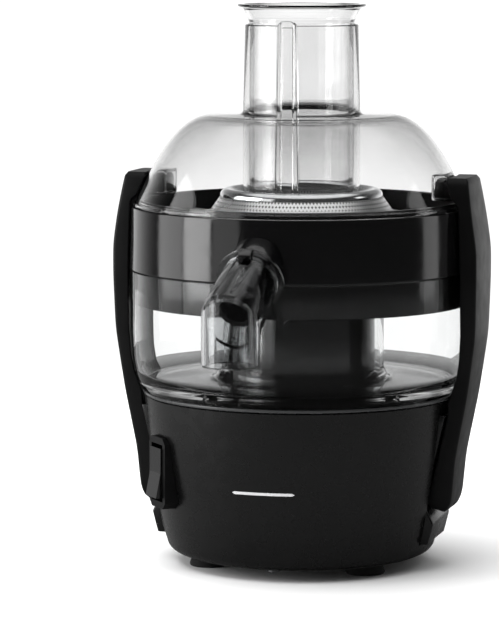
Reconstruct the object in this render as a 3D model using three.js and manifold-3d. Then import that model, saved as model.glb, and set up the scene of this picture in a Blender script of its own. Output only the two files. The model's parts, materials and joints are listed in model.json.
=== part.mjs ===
// Centrifugal juicer with a pulp container around its drive column.
// Millimetres, +Z up. The drive axis stands on Z; the juice spout points to -Y and the
// two clamps lie on the X axis. Every piece is one closed solid in its own named mesh.
import * as THREE from 'three';
import { mergeVertices } from 'three/addons/utils/BufferGeometryUtils.js';
import Module from 'manifold-3d';

const wasm = await Module();
wasm.setup();

// ---------------------------------------------------------------- driving dimensions
const GAP = 0.35; // between pieces that rest on or in each other
const RUN_GAP = 0.6; // between pieces that move past each other
const ROUND = 32; // segments of the large round pieces
const SMALL_ROUND = 16; // segments of the small round pieces

// feet and base
const FOOT_HEIGHT = 5;
const FOOT_RADIUS = 10;
const FOOT_ANGLE = 35; // degrees from the X axis
const BASE_HEIGHT = 81; // shell only, from its lower edge
const BASE_WALL = 2.6;
const BASE_EDGE = 6.5; // radius of the rounded lower edge
const COVER_THICKNESS = 2.6;
const SCREW_RADIUS = 1.9;
const TRIM_HEIGHT = 1.6;
const DECK_THICKNESS = 2.5;
const TOWER_RADIUS = 37.8;
const TOWER_WALL = 2.4;

// pulp container
const CONTAINER_HEIGHT = 61.6;
const CONTAINER_RADIUS = 87.6;
const CONTAINER_WALL = 2.2;
const COLUMN_WALL = 2.2;
const FLOOR_RISE = 5.2; // container floor above its lower edge

// juice collector
const RING_HEIGHT = 31.6;
const RING_WALL = 3.2;
const SKIRT_DEPTH = 16.6;
const LIP_HEIGHT = 2.9;
const LIP_THICKNESS = 2.1;
const WEIR_HEIGHT = 11;

// spout
const SPOUT_SLOPE = 25; // degrees below level
const SPOUT_RADIUS = 14.1;
const SPOUT_WALL = 1.9;
const SPOUT_AXIS_RISE = 12.6; // of the nozzle above the lower edge of the ring, at the wall
const SPOUT_DROP = 21; // mouth below the elbow
const NOZZLE_WALL = 2.9;
const BOSS_RADIUS = 13.4;
const COLLAR_RADIUS = 16.6;
const COLLAR_THICKNESS = 2.6;

// filter basket
const FILTER_HEIGHT = 32.7; // of the mesh cone
const FILTER_SKIN = 1.0;
const HUB_RADIUS = 14;
const COUPLING_RADIUS = 9;

// lid, feed tube and pusher
const DOME_HEIGHT = 46.3;
const LID_WALL = 1.9;
const LID_RIM_HEIGHT = 1.9;
const TUBE_RADIUS = 29.8; // outer, at the dome
const TUBE_TAPER = 1.0;
const TUBE_WALL = 1.5;
const TUBE_RISE = 45.7; // above the dome
const TUBE_GRATER_GAP = 8;
const PUSHER_FLANGE_RISE = 10.2; // above the tube
const PUSHER_WALL = 1.9;
const KEY_HALF_WIDTH = 2.8;

// clamps
const CLAMP_TOP_HALF = 15.7;
const CLAMP_MID_HALF = 19.8;
const CLAMP_FOOT_HALF = 14.6;
const CLAMP_THICKNESS = 7.4;
const PIVOT_Z = 37;
const PIVOT_ROUND = 7; // radius of the clamp's foot around its pin
const PIN_RADIUS = 1.6;
const LUG_RADIUS = 4;
const LUG_HALF = 4;
const HOOK_HALF = 8.5;
const HOOK_HEIGHT = 10.4;
const HOOK_REACH = 12.2;
const BRACKET_HALF = 20;

// switch
const SWITCH_ANGLE = 50; // degrees from the front towards the left clamp
const SWITCH_Z = 50.6;
const SWITCH_WIDTH = 20;
const SWITCH_HEIGHT = 36;
const SWITCH_PROUD = 4.2;
const ROCKER_TILT = 6;

// radii that follow the container and the feed tube
const BASE_TOP_RADIUS = CONTAINER_RADIUS - 7.3;
const BASE_BOTTOM_RADIUS = CONTAINER_RADIUS - 25;
const FOOT_CIRCLE = BASE_BOTTOM_RADIUS - 12.6; // radius of the circle that the feet stand on
const SCREW_CIRCLE = BASE_BOTTOM_RADIUS - 8.6;
const RING_TOP_RADIUS = CONTAINER_RADIUS - 1;
const WEIR_RADIUS = CONTAINER_RADIUS - 18.2; // inner wall of the juice trough
const SPOUT_REACH = CONTAINER_RADIUS + 46.4; // drive axis to the middle of the mouth
const FILTER_BOTTOM_RADIUS = WEIR_RADIUS - 4.3;
const FILTER_MOUTH_RADIUS = TUBE_RADIUS + 4;
const FILTER_TOP_RADIUS = FILTER_MOUTH_RADIUS + 7.8;
const PLATEAU_RADIUS = TUBE_RADIUS + 16.2;
const PUSHER_FLANGE_RADIUS = TUBE_RADIUS + 2.7;

// motor
const SHAFT_RADIUS = 4;
const MOTOR_Z = 40; // lower face of the laminations
const STACK_HEIGHT = 30;
const ARMATURE_RADIUS = 21;
const AIR_GAP = 0.8;
const STATOR_WIDTH = 76;
const STATOR_DEPTH = 62;
const COIL_THICKNESS = 8;
const POLE_HALF = 14.6;

// ---------------------------------------------------------------- levels and radii
const BASE_Z = FOOT_HEIGHT + 1;
const BASE_TOP_Z = BASE_Z + BASE_HEIGHT;
const TRIM_Z = BASE_TOP_Z + GAP;
const CONTAINER_Z = TRIM_Z + TRIM_HEIGHT + GAP;
const CONTAINER_TOP_Z = CONTAINER_Z + CONTAINER_HEIGHT;
const FLOOR_Z = CONTAINER_Z + FLOOR_RISE;
const COLUMN_INNER = TOWER_RADIUS + 2.4;
const COLUMN_RADIUS = COLUMN_INNER + COLUMN_WALL;
const COLUMN_TOP_Z = CONTAINER_TOP_Z - 5;
const TOWER_TOP_Z = COLUMN_TOP_Z - 4;
const RING_Z = CONTAINER_TOP_Z + GAP;
const RING_TOP_Z = RING_Z + RING_HEIGHT;
const LIP_OUTER = RING_TOP_RADIUS - RING_WALL - 1.3;
const LIP_TOP_Z = RING_TOP_Z + LIP_HEIGHT;
const TROUGH_Z = RING_Z + 0.4;
const LID_Z = RING_TOP_Z + GAP;
const LID_RADIUS = RING_TOP_RADIUS - 0.6;
const DOME_RADIUS = LIP_OUTER + 0.4 + LID_WALL;
const DOME_Z = LID_Z + LID_RIM_HEIGHT;
const PLATEAU_Z = LID_Z + DOME_HEIGHT;
const TUBE_TOP_Z = PLATEAU_Z + TUBE_RISE;
const BASKET_Z = COLUMN_TOP_Z + 1.2; // underside of the basket floor
const BASKET_FLOOR = 2.8;
const GRATER_Z = BASKET_Z + BASKET_FLOOR + GAP;
const MESH_Z = BASKET_Z + 7.7;
const MESH_TOP_Z = MESH_Z + FILTER_HEIGHT;
const TUBE_BOTTOM_Z = GRATER_Z + TUBE_GRATER_GAP + 1.4;
const PUSHER_BOTTOM_Z = TUBE_BOTTOM_Z + 3;
const PUSHER_TOP_Z = TUBE_TOP_Z + PUSHER_FLANGE_RISE;
const CLAMP_INNER = CONTAINER_RADIUS + 0.9; // face towards the container
const CLAMP_OUTER = CLAMP_INNER + CLAMP_THICKNESS - 0.4;
const PIVOT_X = BASE_BOTTOM_RADIUS + 13.7;
const BRACKET_BACK = BASE_BOTTOM_RADIUS + 3.4;
const CLAMP_TOP_Z = LID_Z + 16.3;
const HOOK_Z = LIP_TOP_Z + GAP + LID_WALL + RUN_GAP;

const slope = THREE.MathUtils.degToRad(SPOUT_SLOPE);
const SPOUT_WALL_POINT = new THREE.Vector3(0, -CONTAINER_RADIUS, RING_Z + SPOUT_AXIS_RISE - 4);
const SPOUT_DIRECTION = new THREE.Vector3(0, -Math.cos(slope), -Math.sin(slope));
const ELBOW_DISTANCE = (SPOUT_REACH - CONTAINER_RADIUS) / Math.cos(slope);
const COLLAR_DISTANCE = 10.5; // collar's rear face from the container's radius
const SPOUT_BORE = SPOUT_RADIUS - SPOUT_WALL;
const NOZZLE_RADIUS = SPOUT_BORE - GAP;
const NOZZLE_LENGTH = ELBOW_DISTANCE - SPOUT_RADIUS - 1;

// ---------------------------------------------------------------- geometry helpers
function solid(geometry) {
  const bare = geometry.clone();
  bare.deleteAttribute('normal');
  bare.deleteAttribute('uv');
  const merged = mergeVertices(bare, 1e-4);
  const corners = Array.from(merged.index.array);
  const kept = [];
  for (let i = 0; i < corners.length; i += 3) {
    const [a, b, c] = corners.slice(i, i + 3);
    if (a !== b && b !== c && c !== a) kept.push(a, b, c);
  }
  return new wasm.Manifold(new wasm.Mesh({
    numProp: 3,
    vertProperties: new Float32Array(merged.attributes.position.array),
    triVerts: new Uint32Array(kept),
  }));
}

function shellGeometry(body) {
  const mesh = body.getMesh();
  const geometry = new THREE.BufferGeometry();
  geometry.setAttribute('position', new THREE.BufferAttribute(mesh.vertProperties, 3));
  geometry.setIndex(new THREE.BufferAttribute(mesh.triVerts, 1));
  return geometry;
}

// A profile of [radius, z] points turned around Z. It closes on itself or ends on the axis.
function turned(profile, segments = ROUND) {
  const points = profile.map(([r, z]) => new THREE.Vector2(r, z));
  if (THREE.ShapeUtils.area(points) < 0) points.reverse();
  if (points[0].x > 0) points.push(points[0].clone());
  return new THREE.LatheGeometry(points, segments).rotateX(Math.PI / 2);
}

function ring(inner, outer, bottom, top, segments = ROUND) {
  return turned([[inner, bottom], [outer, bottom], [outer, top], [inner, top]], segments);
}

function disc(radius, bottom, top, segments = ROUND) {
  return turned([[0, bottom], [radius, bottom], [radius, top], [0, top]], segments);
}

function block(x0, x1, y0, y1, z0, z1) {
  return new THREE.BoxGeometry(x1 - x0, y1 - y0, z1 - z0)
    .translate((x0 + x1) / 2, (y0 + y1) / 2, (z0 + z1) / 2);
}

// A solid of the given outline, drawn in X and Z, as deep as 2 * half along Y.
function plate(outline, half) {
  const shape = new THREE.Shape(outline.map(([x, z]) => new THREE.Vector2(x, z)));
  return new THREE.ExtrudeGeometry(shape, { depth: 2 * half, bevelEnabled: false, curveSegments: 8 })
    .rotateX(Math.PI / 2)
    .translate(0, half, 0);
}

// The same for an outline drawn in Y and Z, from x0 to x1.
function slab(outline, x0, x1) {
  const shape = new THREE.Shape(outline.map(([y, z]) => new THREE.Vector2(y, z)));
  return new THREE.ExtrudeGeometry(shape, { depth: x1 - x0, bevelEnabled: false })
    .applyMatrix4(new THREE.Matrix4().set(0, 0, 1, x0, 1, 0, 0, 0, 0, 1, 0, 0, 0, 0, 0, 1));
}

function pinAlongY(radius, x, z, half, segments = SMALL_ROUND) {
  return new THREE.CylinderGeometry(radius, radius, 2 * half, segments).translate(x, 0, z);
}

function arcPoints(cx, cz, radius, fromDegrees, toDegrees, steps) {
  const points = [];
  for (let i = 0; i <= steps; i += 1) {
    const angle = THREE.MathUtils.degToRad(fromDegrees + ((toDegrees - fromDegrees) * i) / steps);
    points.push([cx + radius * Math.cos(angle), cz + radius * Math.sin(angle)]);
  }
  return points;
}

function turnZ(geometry, degrees) {
  return geometry.rotateZ(THREE.MathUtils.degToRad(degrees));
}

function joinAll(solids) {
  return solids.reduce((whole, next) => whole.add(next));
}

// Outer radius of the base shell at a height above its rounded edge.
function baseRadius(z) {
  const share = (z - BASE_Z) / BASE_HEIGHT;
  const straight = BASE_BOTTOM_RADIUS + BASE_EDGE + (BASE_TOP_RADIUS - BASE_BOTTOM_RADIUS - BASE_EDGE) * share;
  return straight + 1.1 * Math.sin(Math.PI * share);
}

// ---------------------------------------------------------------- base
function baseShellProfile(inset) {
  const edge = arcPoints(
    BASE_BOTTOM_RADIUS, BASE_Z + BASE_EDGE, BASE_EDGE - inset, -90, -8, 3,
  );
  const wall = [0.28, 0.62, 1].map((share) => {
    const z = BASE_Z + share * BASE_HEIGHT;
    return [baseRadius(z) - inset, z];
  });
  return [...edge, ...wall];
}

function baseShell() {
  const outer = baseShellProfile(0);
  const inner = baseShellProfile(BASE_WALL).reverse();
  let shell = solid(turned([...outer, ...inner]));
  for (const side of [1, -1]) {
    const window = block(BRACKET_BACK - 11, BASE_TOP_RADIUS + 15, -bracketWindow(), bracketWindow(),
      bracketBottom() - GAP, bracketTop() + GAP);
    shell = shell.subtract(mirrored(solid(window), side));
  }
  const opening = switchOutline(SWITCH_WIDTH / 2 + GAP, SWITCH_HEIGHT / 2 + GAP);
  const wall = baseRadius(SWITCH_Z);
  shell = shell.subtract(solid(onSwitchSpot(slab(opening, wall - 16, wall + 14))));
  return shell.subtract(solid(glandCutter()));
}

// The flat deck that closes the base around the drive tower.
function upperHousing() {
  const rimRadius = baseRadius(BASE_TOP_Z - DECK_THICKNESS) - BASE_WALL - GAP;
  return solid(ring(TOWER_RADIUS - TOWER_WALL, rimRadius, BASE_TOP_Z - DECK_THICKNESS, BASE_TOP_Z));
}

// The tower stands on the deck and holds the upper bearing under its top.
function driveTower() {
  const top = TOWER_TOP_Z;
  const foot = BASE_TOP_Z + GAP;
  return solid(turned([
    [TOWER_RADIUS, foot],
    [TOWER_RADIUS, top - 1.5],
    [TOWER_RADIUS - 1.5, top],
    [sealRadius() + GAP, top],
    [sealRadius() + GAP, top - TOWER_WALL],
    [TOWER_RADIUS - TOWER_WALL, top - TOWER_WALL],
    [TOWER_RADIUS - TOWER_WALL, foot],
  ]));
}

function trimRing() {
  return solid(ring(BASE_TOP_RADIUS - 6, BASE_TOP_RADIUS + 0.6, TRIM_Z, TRIM_Z + TRIM_HEIGHT));
}

function bottomCover() {
  const radius = BASE_BOTTOM_RADIUS - GAP;
  let cover = solid(disc(radius, BASE_Z - 0.6, BASE_Z - 0.6 + COVER_THICKNESS));
  for (const angle of [0, 90, 180, 270]) {
    const hole = disc(SCREW_RADIUS + GAP, 0, BASE_Z + 9, 12).translate(SCREW_CIRCLE, 0, 0);
    cover = cover.subtract(solid(turnZ(hole, angle)));
  }
  for (let row = -2; row <= 2; row += 1) {
    cover = cover.subtract(solid(block(-14, 14, row * 7 - 1.5, row * 7 + 1.5, 0, BASE_Z + 9)));
  }
  return cover;
}

function foot() {
  const top = BASE_Z - 0.6 - GAP;
  return solid(turned([
    [0, 0], [FOOT_RADIUS - 1, 0], [FOOT_RADIUS, 1], [FOOT_RADIUS - 1.4, top], [0, top],
  ], SMALL_ROUND));
}

function bottomScrew() {
  const head = BASE_Z - 0.6 - GAP;
  return solid(turned([
    [0, head - 1.6], [SCREW_RADIUS + 1.5, head - 1.6], [SCREW_RADIUS + 1.5, head],
    [SCREW_RADIUS, head], [SCREW_RADIUS, head + 9], [0, head + 9],
  ], 12));
}

function glandCutter() {
  return new THREE.CylinderGeometry(6.2 + GAP, 6.2 + GAP, 30, SMALL_ROUND).translate(0, baseRadius(24), 24);
}

function cordGland() {
  const wallRadius = baseRadius(24);
  const sleeve = turned([
    [3.7, -9], [6.2, -9], [6.2, 2], [8.4, 2], [7.4, 5.8], [3.7, 5.8],
  ], SMALL_ROUND).rotateX(-Math.PI / 2);
  return solid(sleeve.translate(0, wallRadius, 24));
}

// ---------------------------------------------------------------- power switch
function switchOutline(halfWidth, halfHeight) {
  const chamfer = 0.32 * halfWidth;
  return [
    [-halfWidth, -halfHeight + chamfer], [-halfWidth + chamfer, -halfHeight],
    [halfWidth - chamfer, -halfHeight], [halfWidth, -halfHeight + chamfer],
    [halfWidth, halfHeight - chamfer], [halfWidth - chamfer, halfHeight],
    [-halfWidth + chamfer, halfHeight], [-halfWidth, halfHeight - chamfer],
  ];
}

function onSwitchSpot(geometry) {
  return turnZ(geometry.translate(0, 0, SWITCH_Z), -90 - SWITCH_ANGLE);
}

function switchHousing() {
  const face = baseRadius(SWITCH_Z) + SWITCH_PROUD;
  const outer = slab(switchOutline(SWITCH_WIDTH / 2, SWITCH_HEIGHT / 2), face - 15, face);
  const well = block(face - 12, face + 5, -SWITCH_WIDTH / 2 + 3, SWITCH_WIDTH / 2 - 3,
    -SWITCH_HEIGHT / 2 + 3.4, SWITCH_HEIGHT / 2 - 3.4);
  return solid(onSwitchSpot(outer)).subtract(solid(onSwitchSpot(well)));
}

function powerRocker() {
  const face = baseRadius(SWITCH_Z) + SWITCH_PROUD;
  const halfWidth = SWITCH_WIDTH / 2 - 3 - GAP;
  const halfHeight = SWITCH_HEIGHT / 2 - 3.4 - 2;
  const outline = [
    [-8, -halfHeight + 5], [-1, -halfHeight], [2.2, -halfHeight], [1, 0],
    [2.2, halfHeight], [-1, halfHeight], [-8, halfHeight - 5],
  ];
  const body = plate(outline, halfWidth)
    .rotateY(THREE.MathUtils.degToRad(-ROCKER_TILT))
    .translate(face, 0, 0);
  return solid(onSwitchSpot(body));
}

// ---------------------------------------------------------------- clamps
function bracketWindow() {
  return BRACKET_HALF + GAP;
}

function bracketBottom() {
  return BASE_Z + 8;
}

function bracketTop() {
  return BASE_TOP_Z - 6.7;
}

// Inner face of a clamp from its foot up to the container's straight wall, as x and z.
function clampInnerLine() {
  return [
    [PIVOT_X - 5.1, PIVOT_Z + 4],
    [BASE_TOP_RADIUS + 1.6, BASE_TOP_Z],
    [CONTAINER_RADIUS - 1.6, CONTAINER_Z + 9],
    [CONTAINER_RADIUS - 0.2, CONTAINER_Z + 17],
    [CLAMP_INNER - 0.1, CONTAINER_Z + 31],
  ];
}

function clampInnerAt(z) {
  const line = clampInnerLine();
  const k = Math.max(1, line.slice(1, -1).filter((point) => point[1] < z).length + 1);
  const [low, high] = [line[k - 1], line[k]];
  return low[0] + ((high[0] - low[0]) * (z - low[1])) / (high[1] - low[1]);
}

function clampSideOutline() {
  const foot = arcPoints(PIVOT_X, PIVOT_Z, PIVOT_ROUND, 180, 290, 6);
  const inner = clampInnerLine();
  const outer = [
    [PIVOT_X + 5.9, PIVOT_Z - 4.6],
    [clampInnerAt(PIVOT_Z + 20) + CLAMP_THICKNESS + 2, PIVOT_Z + 20],
    [clampInnerAt(CONTAINER_Z) + CLAMP_THICKNESS + 0.5, CONTAINER_Z],
    [CLAMP_OUTER - 0.7, CONTAINER_Z + 30],
    [CLAMP_OUTER, CONTAINER_TOP_Z - 4],
    [CLAMP_OUTER, CONTAINER_TOP_Z + 12],
    [CLAMP_OUTER - 2.8, RING_TOP_Z - 1],
    [CLAMP_OUTER - 5.6, CLAMP_TOP_Z],
  ];
  const head = [
    [domeOuterAt(CLAMP_TOP_Z) + 1.3, CLAMP_TOP_Z],
    [domeOuterAt(DOME_Z + 9) + 1, DOME_Z + 9],
    [domeOuterAt(DOME_Z + 3) + 1, DOME_Z + 3],
    [RING_TOP_RADIUS + RUN_GAP, DOME_Z + 0.7],
    [CLAMP_INNER - 0.6, RING_TOP_Z - 12],
    [CLAMP_INNER, CONTAINER_TOP_Z],
  ];
  return [...foot, ...outer, ...head, ...inner.reverse()];
}

function clampFrontOutline() {
  const low = PIVOT_Z - 12;
  const half = [
    [CLAMP_FOOT_HALF - 3, low], [CLAMP_FOOT_HALF, PIVOT_Z - 4], [CLAMP_MID_HALF - 2.6, CONTAINER_Z + 10],
    [CLAMP_MID_HALF, CONTAINER_TOP_Z - 4], [CLAMP_MID_HALF, RING_TOP_Z - 4],
    [CLAMP_TOP_HALF + 1.4, CLAMP_TOP_Z - 5], [CLAMP_TOP_HALF, CLAMP_TOP_Z - 1],
    [CLAMP_TOP_HALF - 1.5, CLAMP_TOP_Z + 0.1],
  ];
  return [...half, ...half.map(([y, z]) => [-y, z]).reverse()];
}

function clampArm(side) {
  const profile = solid(plate(clampSideOutline(), CLAMP_MID_HALF + 2));
  const front = solid(slab(clampFrontOutline(), BRACKET_BACK - 6, CLAMP_OUTER + 10));
  let arm = profile.intersect(front);
  const hook = block(domeOuterAt(HOOK_Z) - HOOK_REACH, CLAMP_INNER + 1, -HOOK_HALF, HOOK_HALF,
    HOOK_Z, HOOK_Z + HOOK_HEIGHT);
  arm = arm.add(solid(hook).intersect(solid(plate(hookOutline(), HOOK_HALF + 1))));
  const slot = block(PIVOT_X - 15, PIVOT_X + LUG_RADIUS + RUN_GAP + GAP, -LUG_HALF - GAP, LUG_HALF + GAP,
    PIVOT_Z - 20, PIVOT_Z + 12);
  arm = arm.subtract(solid(slot));
  arm = arm.subtract(solid(pinAlongY(PIN_RADIUS + GAP, PIVOT_X, PIVOT_Z, CLAMP_MID_HALF + 3, 16)));
  return mirrored(arm, side);
}

function hookOutline() {
  const tip = domeOuterAt(HOOK_Z) - HOOK_REACH;
  const top = HOOK_Z + HOOK_HEIGHT;
  const back = clampBackAt(HOOK_Z + HOOK_HEIGHT / 2);
  return [
    [tip, HOOK_Z + 1], [tip + 1, HOOK_Z], [back, HOOK_Z],
    [back, top], [tip + 3, top], [tip + 0.8, top - 1], [tip, top - 3],
  ];
}

function clampBackAt(z) {
  return domeOuterAt(z) + 4;
}

function mirrored(body, side) {
  if (side > 0) return body;
  const geometry = shellGeometry(body);
  return solid(geometry.rotateZ(Math.PI));
}

function clampPin(side) {
  return mirrored(solid(pinAlongY(PIN_RADIUS, PIVOT_X, PIVOT_Z, CLAMP_FOOT_HALF - 1, 16)), side);
}

function clampBracket(side) {
  const face = [
    [BRACKET_BACK, bracketBottom()],
    [baseRadius(bracketBottom()) + 0.6, bracketBottom()],
    [baseRadius(PIVOT_Z - 12) + 1.6, PIVOT_Z - 12],
    ...arcPoints(PIVOT_X, PIVOT_Z, PIVOT_ROUND + RUN_GAP, 222, 166, 5),
  ];
  const steps = [0.12, 0.6, 1].map((s) => PIVOT_Z + 4 + s * (bracketTop() - PIVOT_Z - 4));
  const upper = steps.map((z) => [clampInnerAt(z) - RUN_GAP, z]);
  const outline = [...face, ...upper, [BRACKET_BACK, bracketTop()]];
  let bracket = solid(plate(outline, BRACKET_HALF));
  const lug = [
    ...arcPoints(PIVOT_X, PIVOT_Z, LUG_RADIUS, -100, 80, 8),
    [PIVOT_X - 8, PIVOT_Z + 7], [PIVOT_X - 9.6, PIVOT_Z - 5],
  ];
  bracket = bracket.add(solid(plate(lug, LUG_HALF)));
  const bore = pinAlongY(PIN_RADIUS + GAP, PIVOT_X, PIVOT_Z, LUG_HALF + 1, 16);
  return mirrored(bracket.subtract(solid(bore)), side);
}

// ---------------------------------------------------------------- pulp container
function pulpContainer() {
  const wallOuter = [
    [BASE_TOP_RADIUS + 0.6, CONTAINER_Z], [CONTAINER_RADIUS - 4.2, CONTAINER_Z + 4],
    [CONTAINER_RADIUS - 2.6, CONTAINER_Z + 8.8], [CONTAINER_RADIUS - 1.2, CONTAINER_Z + 17],
    [CONTAINER_RADIUS - 0.3, CONTAINER_Z + 31], [CONTAINER_RADIUS, CONTAINER_TOP_Z],
  ];
  const inset = CONTAINER_WALL;
  const wallInner = [
    [CONTAINER_RADIUS - inset, CONTAINER_TOP_Z], [CONTAINER_RADIUS - 0.3 - inset, CONTAINER_Z + 31],
    [CONTAINER_RADIUS - 1.2 - inset, CONTAINER_Z + 17.4], [CONTAINER_RADIUS - 2.7 - inset, CONTAINER_Z + 9.6],
    [CONTAINER_RADIUS - 4.6 - inset, CONTAINER_Z + 6.4], [CONTAINER_RADIUS - 6.6 - inset, FLOOR_Z],
  ];
  const column = [
    [COLUMN_RADIUS + 5.6, FLOOR_Z], [COLUMN_RADIUS + 2.4, FLOOR_Z + 1.3],
    [COLUMN_RADIUS + 0.7, FLOOR_Z + 4.4], [COLUMN_RADIUS, COLUMN_TOP_Z],
    [COLUMN_INNER, COLUMN_TOP_Z], [COLUMN_INNER + 0.6, FLOOR_Z + 1],
    [COLUMN_INNER + 2, FLOOR_Z - 2.6], [BASE_TOP_RADIUS - 3.4, FLOOR_Z - 2.6],
    [BASE_TOP_RADIUS - 4, CONTAINER_Z],
  ];
  const tub = solid(turned([...wallOuter, ...wallInner, ...column]));
  const notch = new THREE.CylinderGeometry(BOSS_RADIUS + 1.4, BOSS_RADIUS + 1.4, 40, SMALL_ROUND);
  return tub.subtract(solid(onSpoutAxis(notch, 0)));
}

// ---------------------------------------------------------------- juice collector and spout
// Puts a geometry that was made along Y onto the spout's axis, its middle `distance` out.
function onSpoutAxis(geometry, distance) {
  const turn = new THREE.Quaternion().setFromUnitVectors(new THREE.Vector3(0, -1, 0), SPOUT_DIRECTION);
  const middle = SPOUT_WALL_POINT.clone().addScaledVector(SPOUT_DIRECTION, distance);
  return geometry.applyQuaternion(turn).translate(middle.x, middle.y, middle.z);
}

function spoutCylinder(radius, from, to, segments = 24) {
  const length = to - from;
  return onSpoutAxis(new THREE.CylinderGeometry(radius, radius, length, segments), (from + to) / 2);
}

function juiceCollector() {
  const innerTop = LIP_OUTER - LIP_THICKNESS;
  const skirtOuter = CONTAINER_RADIUS - CONTAINER_WALL - 0.6;
  const profile = [
    [CONTAINER_RADIUS, RING_Z], [RING_TOP_RADIUS, RING_TOP_Z], [LIP_OUTER, RING_TOP_Z],
    [LIP_OUTER, LIP_TOP_Z], [innerTop, LIP_TOP_Z], [innerTop + 1.2, TROUGH_Z + 5],
    [innerTop - 1.4, TROUGH_Z + 1], [WEIR_RADIUS + 5, TROUGH_Z], [WEIR_RADIUS + 2, TROUGH_Z + 2],
    [WEIR_RADIUS + 2, TROUGH_Z + WEIR_HEIGHT], [WEIR_RADIUS, TROUGH_Z + WEIR_HEIGHT],
    [WEIR_RADIUS, TROUGH_Z - 2.4], [skirtOuter - 2.2, TROUGH_Z - 2.4],
    [skirtOuter - 2.2, RING_Z - SKIRT_DEPTH], [skirtOuter, RING_Z - SKIRT_DEPTH],
    [skirtOuter, RING_Z],
  ];
  const bowl = solid(turned(profile));
  const hollow = solid(ring(WEIR_RADIUS + 2, innerTop - 0.5, TROUGH_Z + 1.5, RING_TOP_Z));
  const boss = solid(spoutCylinder(BOSS_RADIUS, -12, COLLAR_DISTANCE - GAP));
  const nozzle = solid(spoutCylinder(NOZZLE_RADIUS, -8, NOZZLE_LENGTH));
  const keyBump = spoutKey(COLLAR_DISTANCE - GAP - 6, COLLAR_DISTANCE - GAP, BOSS_RADIUS, COLLAR_RADIUS - 0.6);
  const bore = solid(spoutCylinder(NOZZLE_RADIUS - NOZZLE_WALL, -14, NOZZLE_LENGTH + 5));
  return joinAll([bowl, boss, nozzle, solid(keyBump)]).subtract(hollow).subtract(bore)
    .subtract(solid(disc(WEIR_RADIUS, RING_Z - 40, RING_TOP_Z)));
}

// A small block on top of the spout's axis, between two distances and two radii.
function spoutKey(from, to, inner, outer) {
  const key = block(-4, 4, from, to, inner - 1, outer);
  return onSpoutAxis(key.rotateZ(Math.PI), 0);
}

// The spout's elbow as a round bar: level with the collar at one end, cut at 45 degrees
// above the mouth, and flat at the mouth.
function elbow(radius, backwards, downwards) {
  const bar = new THREE.CylinderGeometry(radius, radius, 2, 24, 2);
  const place = bar.attributes.position;
  const centre = SPOUT_WALL_POINT.clone().addScaledVector(SPOUT_DIRECTION, ELBOW_DISTANCE);
  const root = SPOUT_WALL_POINT.clone().addScaledVector(SPOUT_DIRECTION, COLLAR_DISTANCE - backwards);
  const up = new THREE.Vector3(0, -Math.sin(slope), Math.cos(slope));
  for (let i = 0; i < place.count; i += 1) {
    const across = place.getX(i);
    const lift = place.getZ(i);
    const level = Math.round(place.getY(i));
    const point = new THREE.Vector3(across, 0, 0);
    if (level > 0) point.add(root).addScaledVector(up, lift);
    if (level === 0) point.add(centre).add(new THREE.Vector3(0, -lift, lift));
    if (level < 0) point.add(centre).add(new THREE.Vector3(0, -lift, -SPOUT_DROP - downwards));
    place.setXYZ(i, point.x, point.y, point.z);
  }
  return bar;
}

function spout() {
  const outside = solid(elbow(SPOUT_RADIUS, 0, 0));
  const inside = solid(elbow(SPOUT_BORE, 2, 2));
  const collar = solid(spoutCylinder(COLLAR_RADIUS, COLLAR_DISTANCE, COLLAR_DISTANCE + COLLAR_THICKNESS));
  const catchTab = spoutKey(COLLAR_DISTANCE, COLLAR_DISTANCE + 9, SPOUT_RADIUS, COLLAR_RADIUS + 1.4);
  return joinAll([outside, collar, solid(catchTab)]).subtract(inside);
}

// ---------------------------------------------------------------- filter basket
function driveCoupling() {
  const length = BASKET_Z + 2 - TOWER_TOP_Z - 2.4;
  const hex = new THREE.CylinderGeometry(COUPLING_RADIUS, COUPLING_RADIUS, length, 6)
    .rotateX(Math.PI / 2)
    .translate(0, 0, TOWER_TOP_Z + 2.4 + length / 2);
  const bore = disc(SHAFT_RADIUS + GAP, TOWER_TOP_Z, shaftTop() + GAP, 16);
  return solid(hex).subtract(solid(bore));
}

function filterBase() {
  const outer = WEIR_RADIUS - 1.5;
  const floorTop = BASKET_Z + BASKET_FLOOR;
  const skirt = COLUMN_RADIUS + 1.4;
  const body = solid(turned([
    [0, BASKET_Z - 3.6], [HUB_RADIUS, BASKET_Z - 3.6], [HUB_RADIUS, BASKET_Z], [skirt, BASKET_Z],
    [skirt, BASKET_Z - 6], [skirt + 2, BASKET_Z - 6], [skirt + 2, BASKET_Z], [outer - 1, BASKET_Z],
    [outer, BASKET_Z + 1], [outer, MESH_Z - GAP], [FILTER_BOTTOM_RADIUS - 2, MESH_Z - GAP],
    [FILTER_BOTTOM_RADIUS - 2.4, floorTop], [HUB_RADIUS, floorTop], [HUB_RADIUS, floorTop + 4],
    [HUB_RADIUS - 5, floorTop + 6.6], [0, floorTop + 7],
  ]));
  const hole = new THREE.CylinderGeometry(COUPLING_RADIUS + GAP, COUPLING_RADIUS + GAP, 12, 6)
    .rotateX(Math.PI / 2)
    .translate(0, 0, BASKET_Z - 3.6);
  let basket = body.subtract(solid(hole));
  const windows = 8;
  for (let i = 0; i < windows; i += 1) {
    basket = basket.subtract(solid(turnZ(pulpWindow(skirt + 4, outer - 6), (i * 360) / windows)));
  }
  return basket;
}

function pulpWindow(inner, outer) {
  const spread = 17;
  const outline = [
    ...arcPoints(0, 0, outer, -spread, spread, 3),
    ...arcPoints(0, 0, inner, spread - 1, 1 - spread, 2),
  ];
  const shape = new THREE.Shape(outline.map(([x, y]) => new THREE.Vector2(x, y)));
  return new THREE.ExtrudeGeometry(shape, { depth: 12, bevelEnabled: false }).translate(0, 0, BASKET_Z - 4);
}

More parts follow.
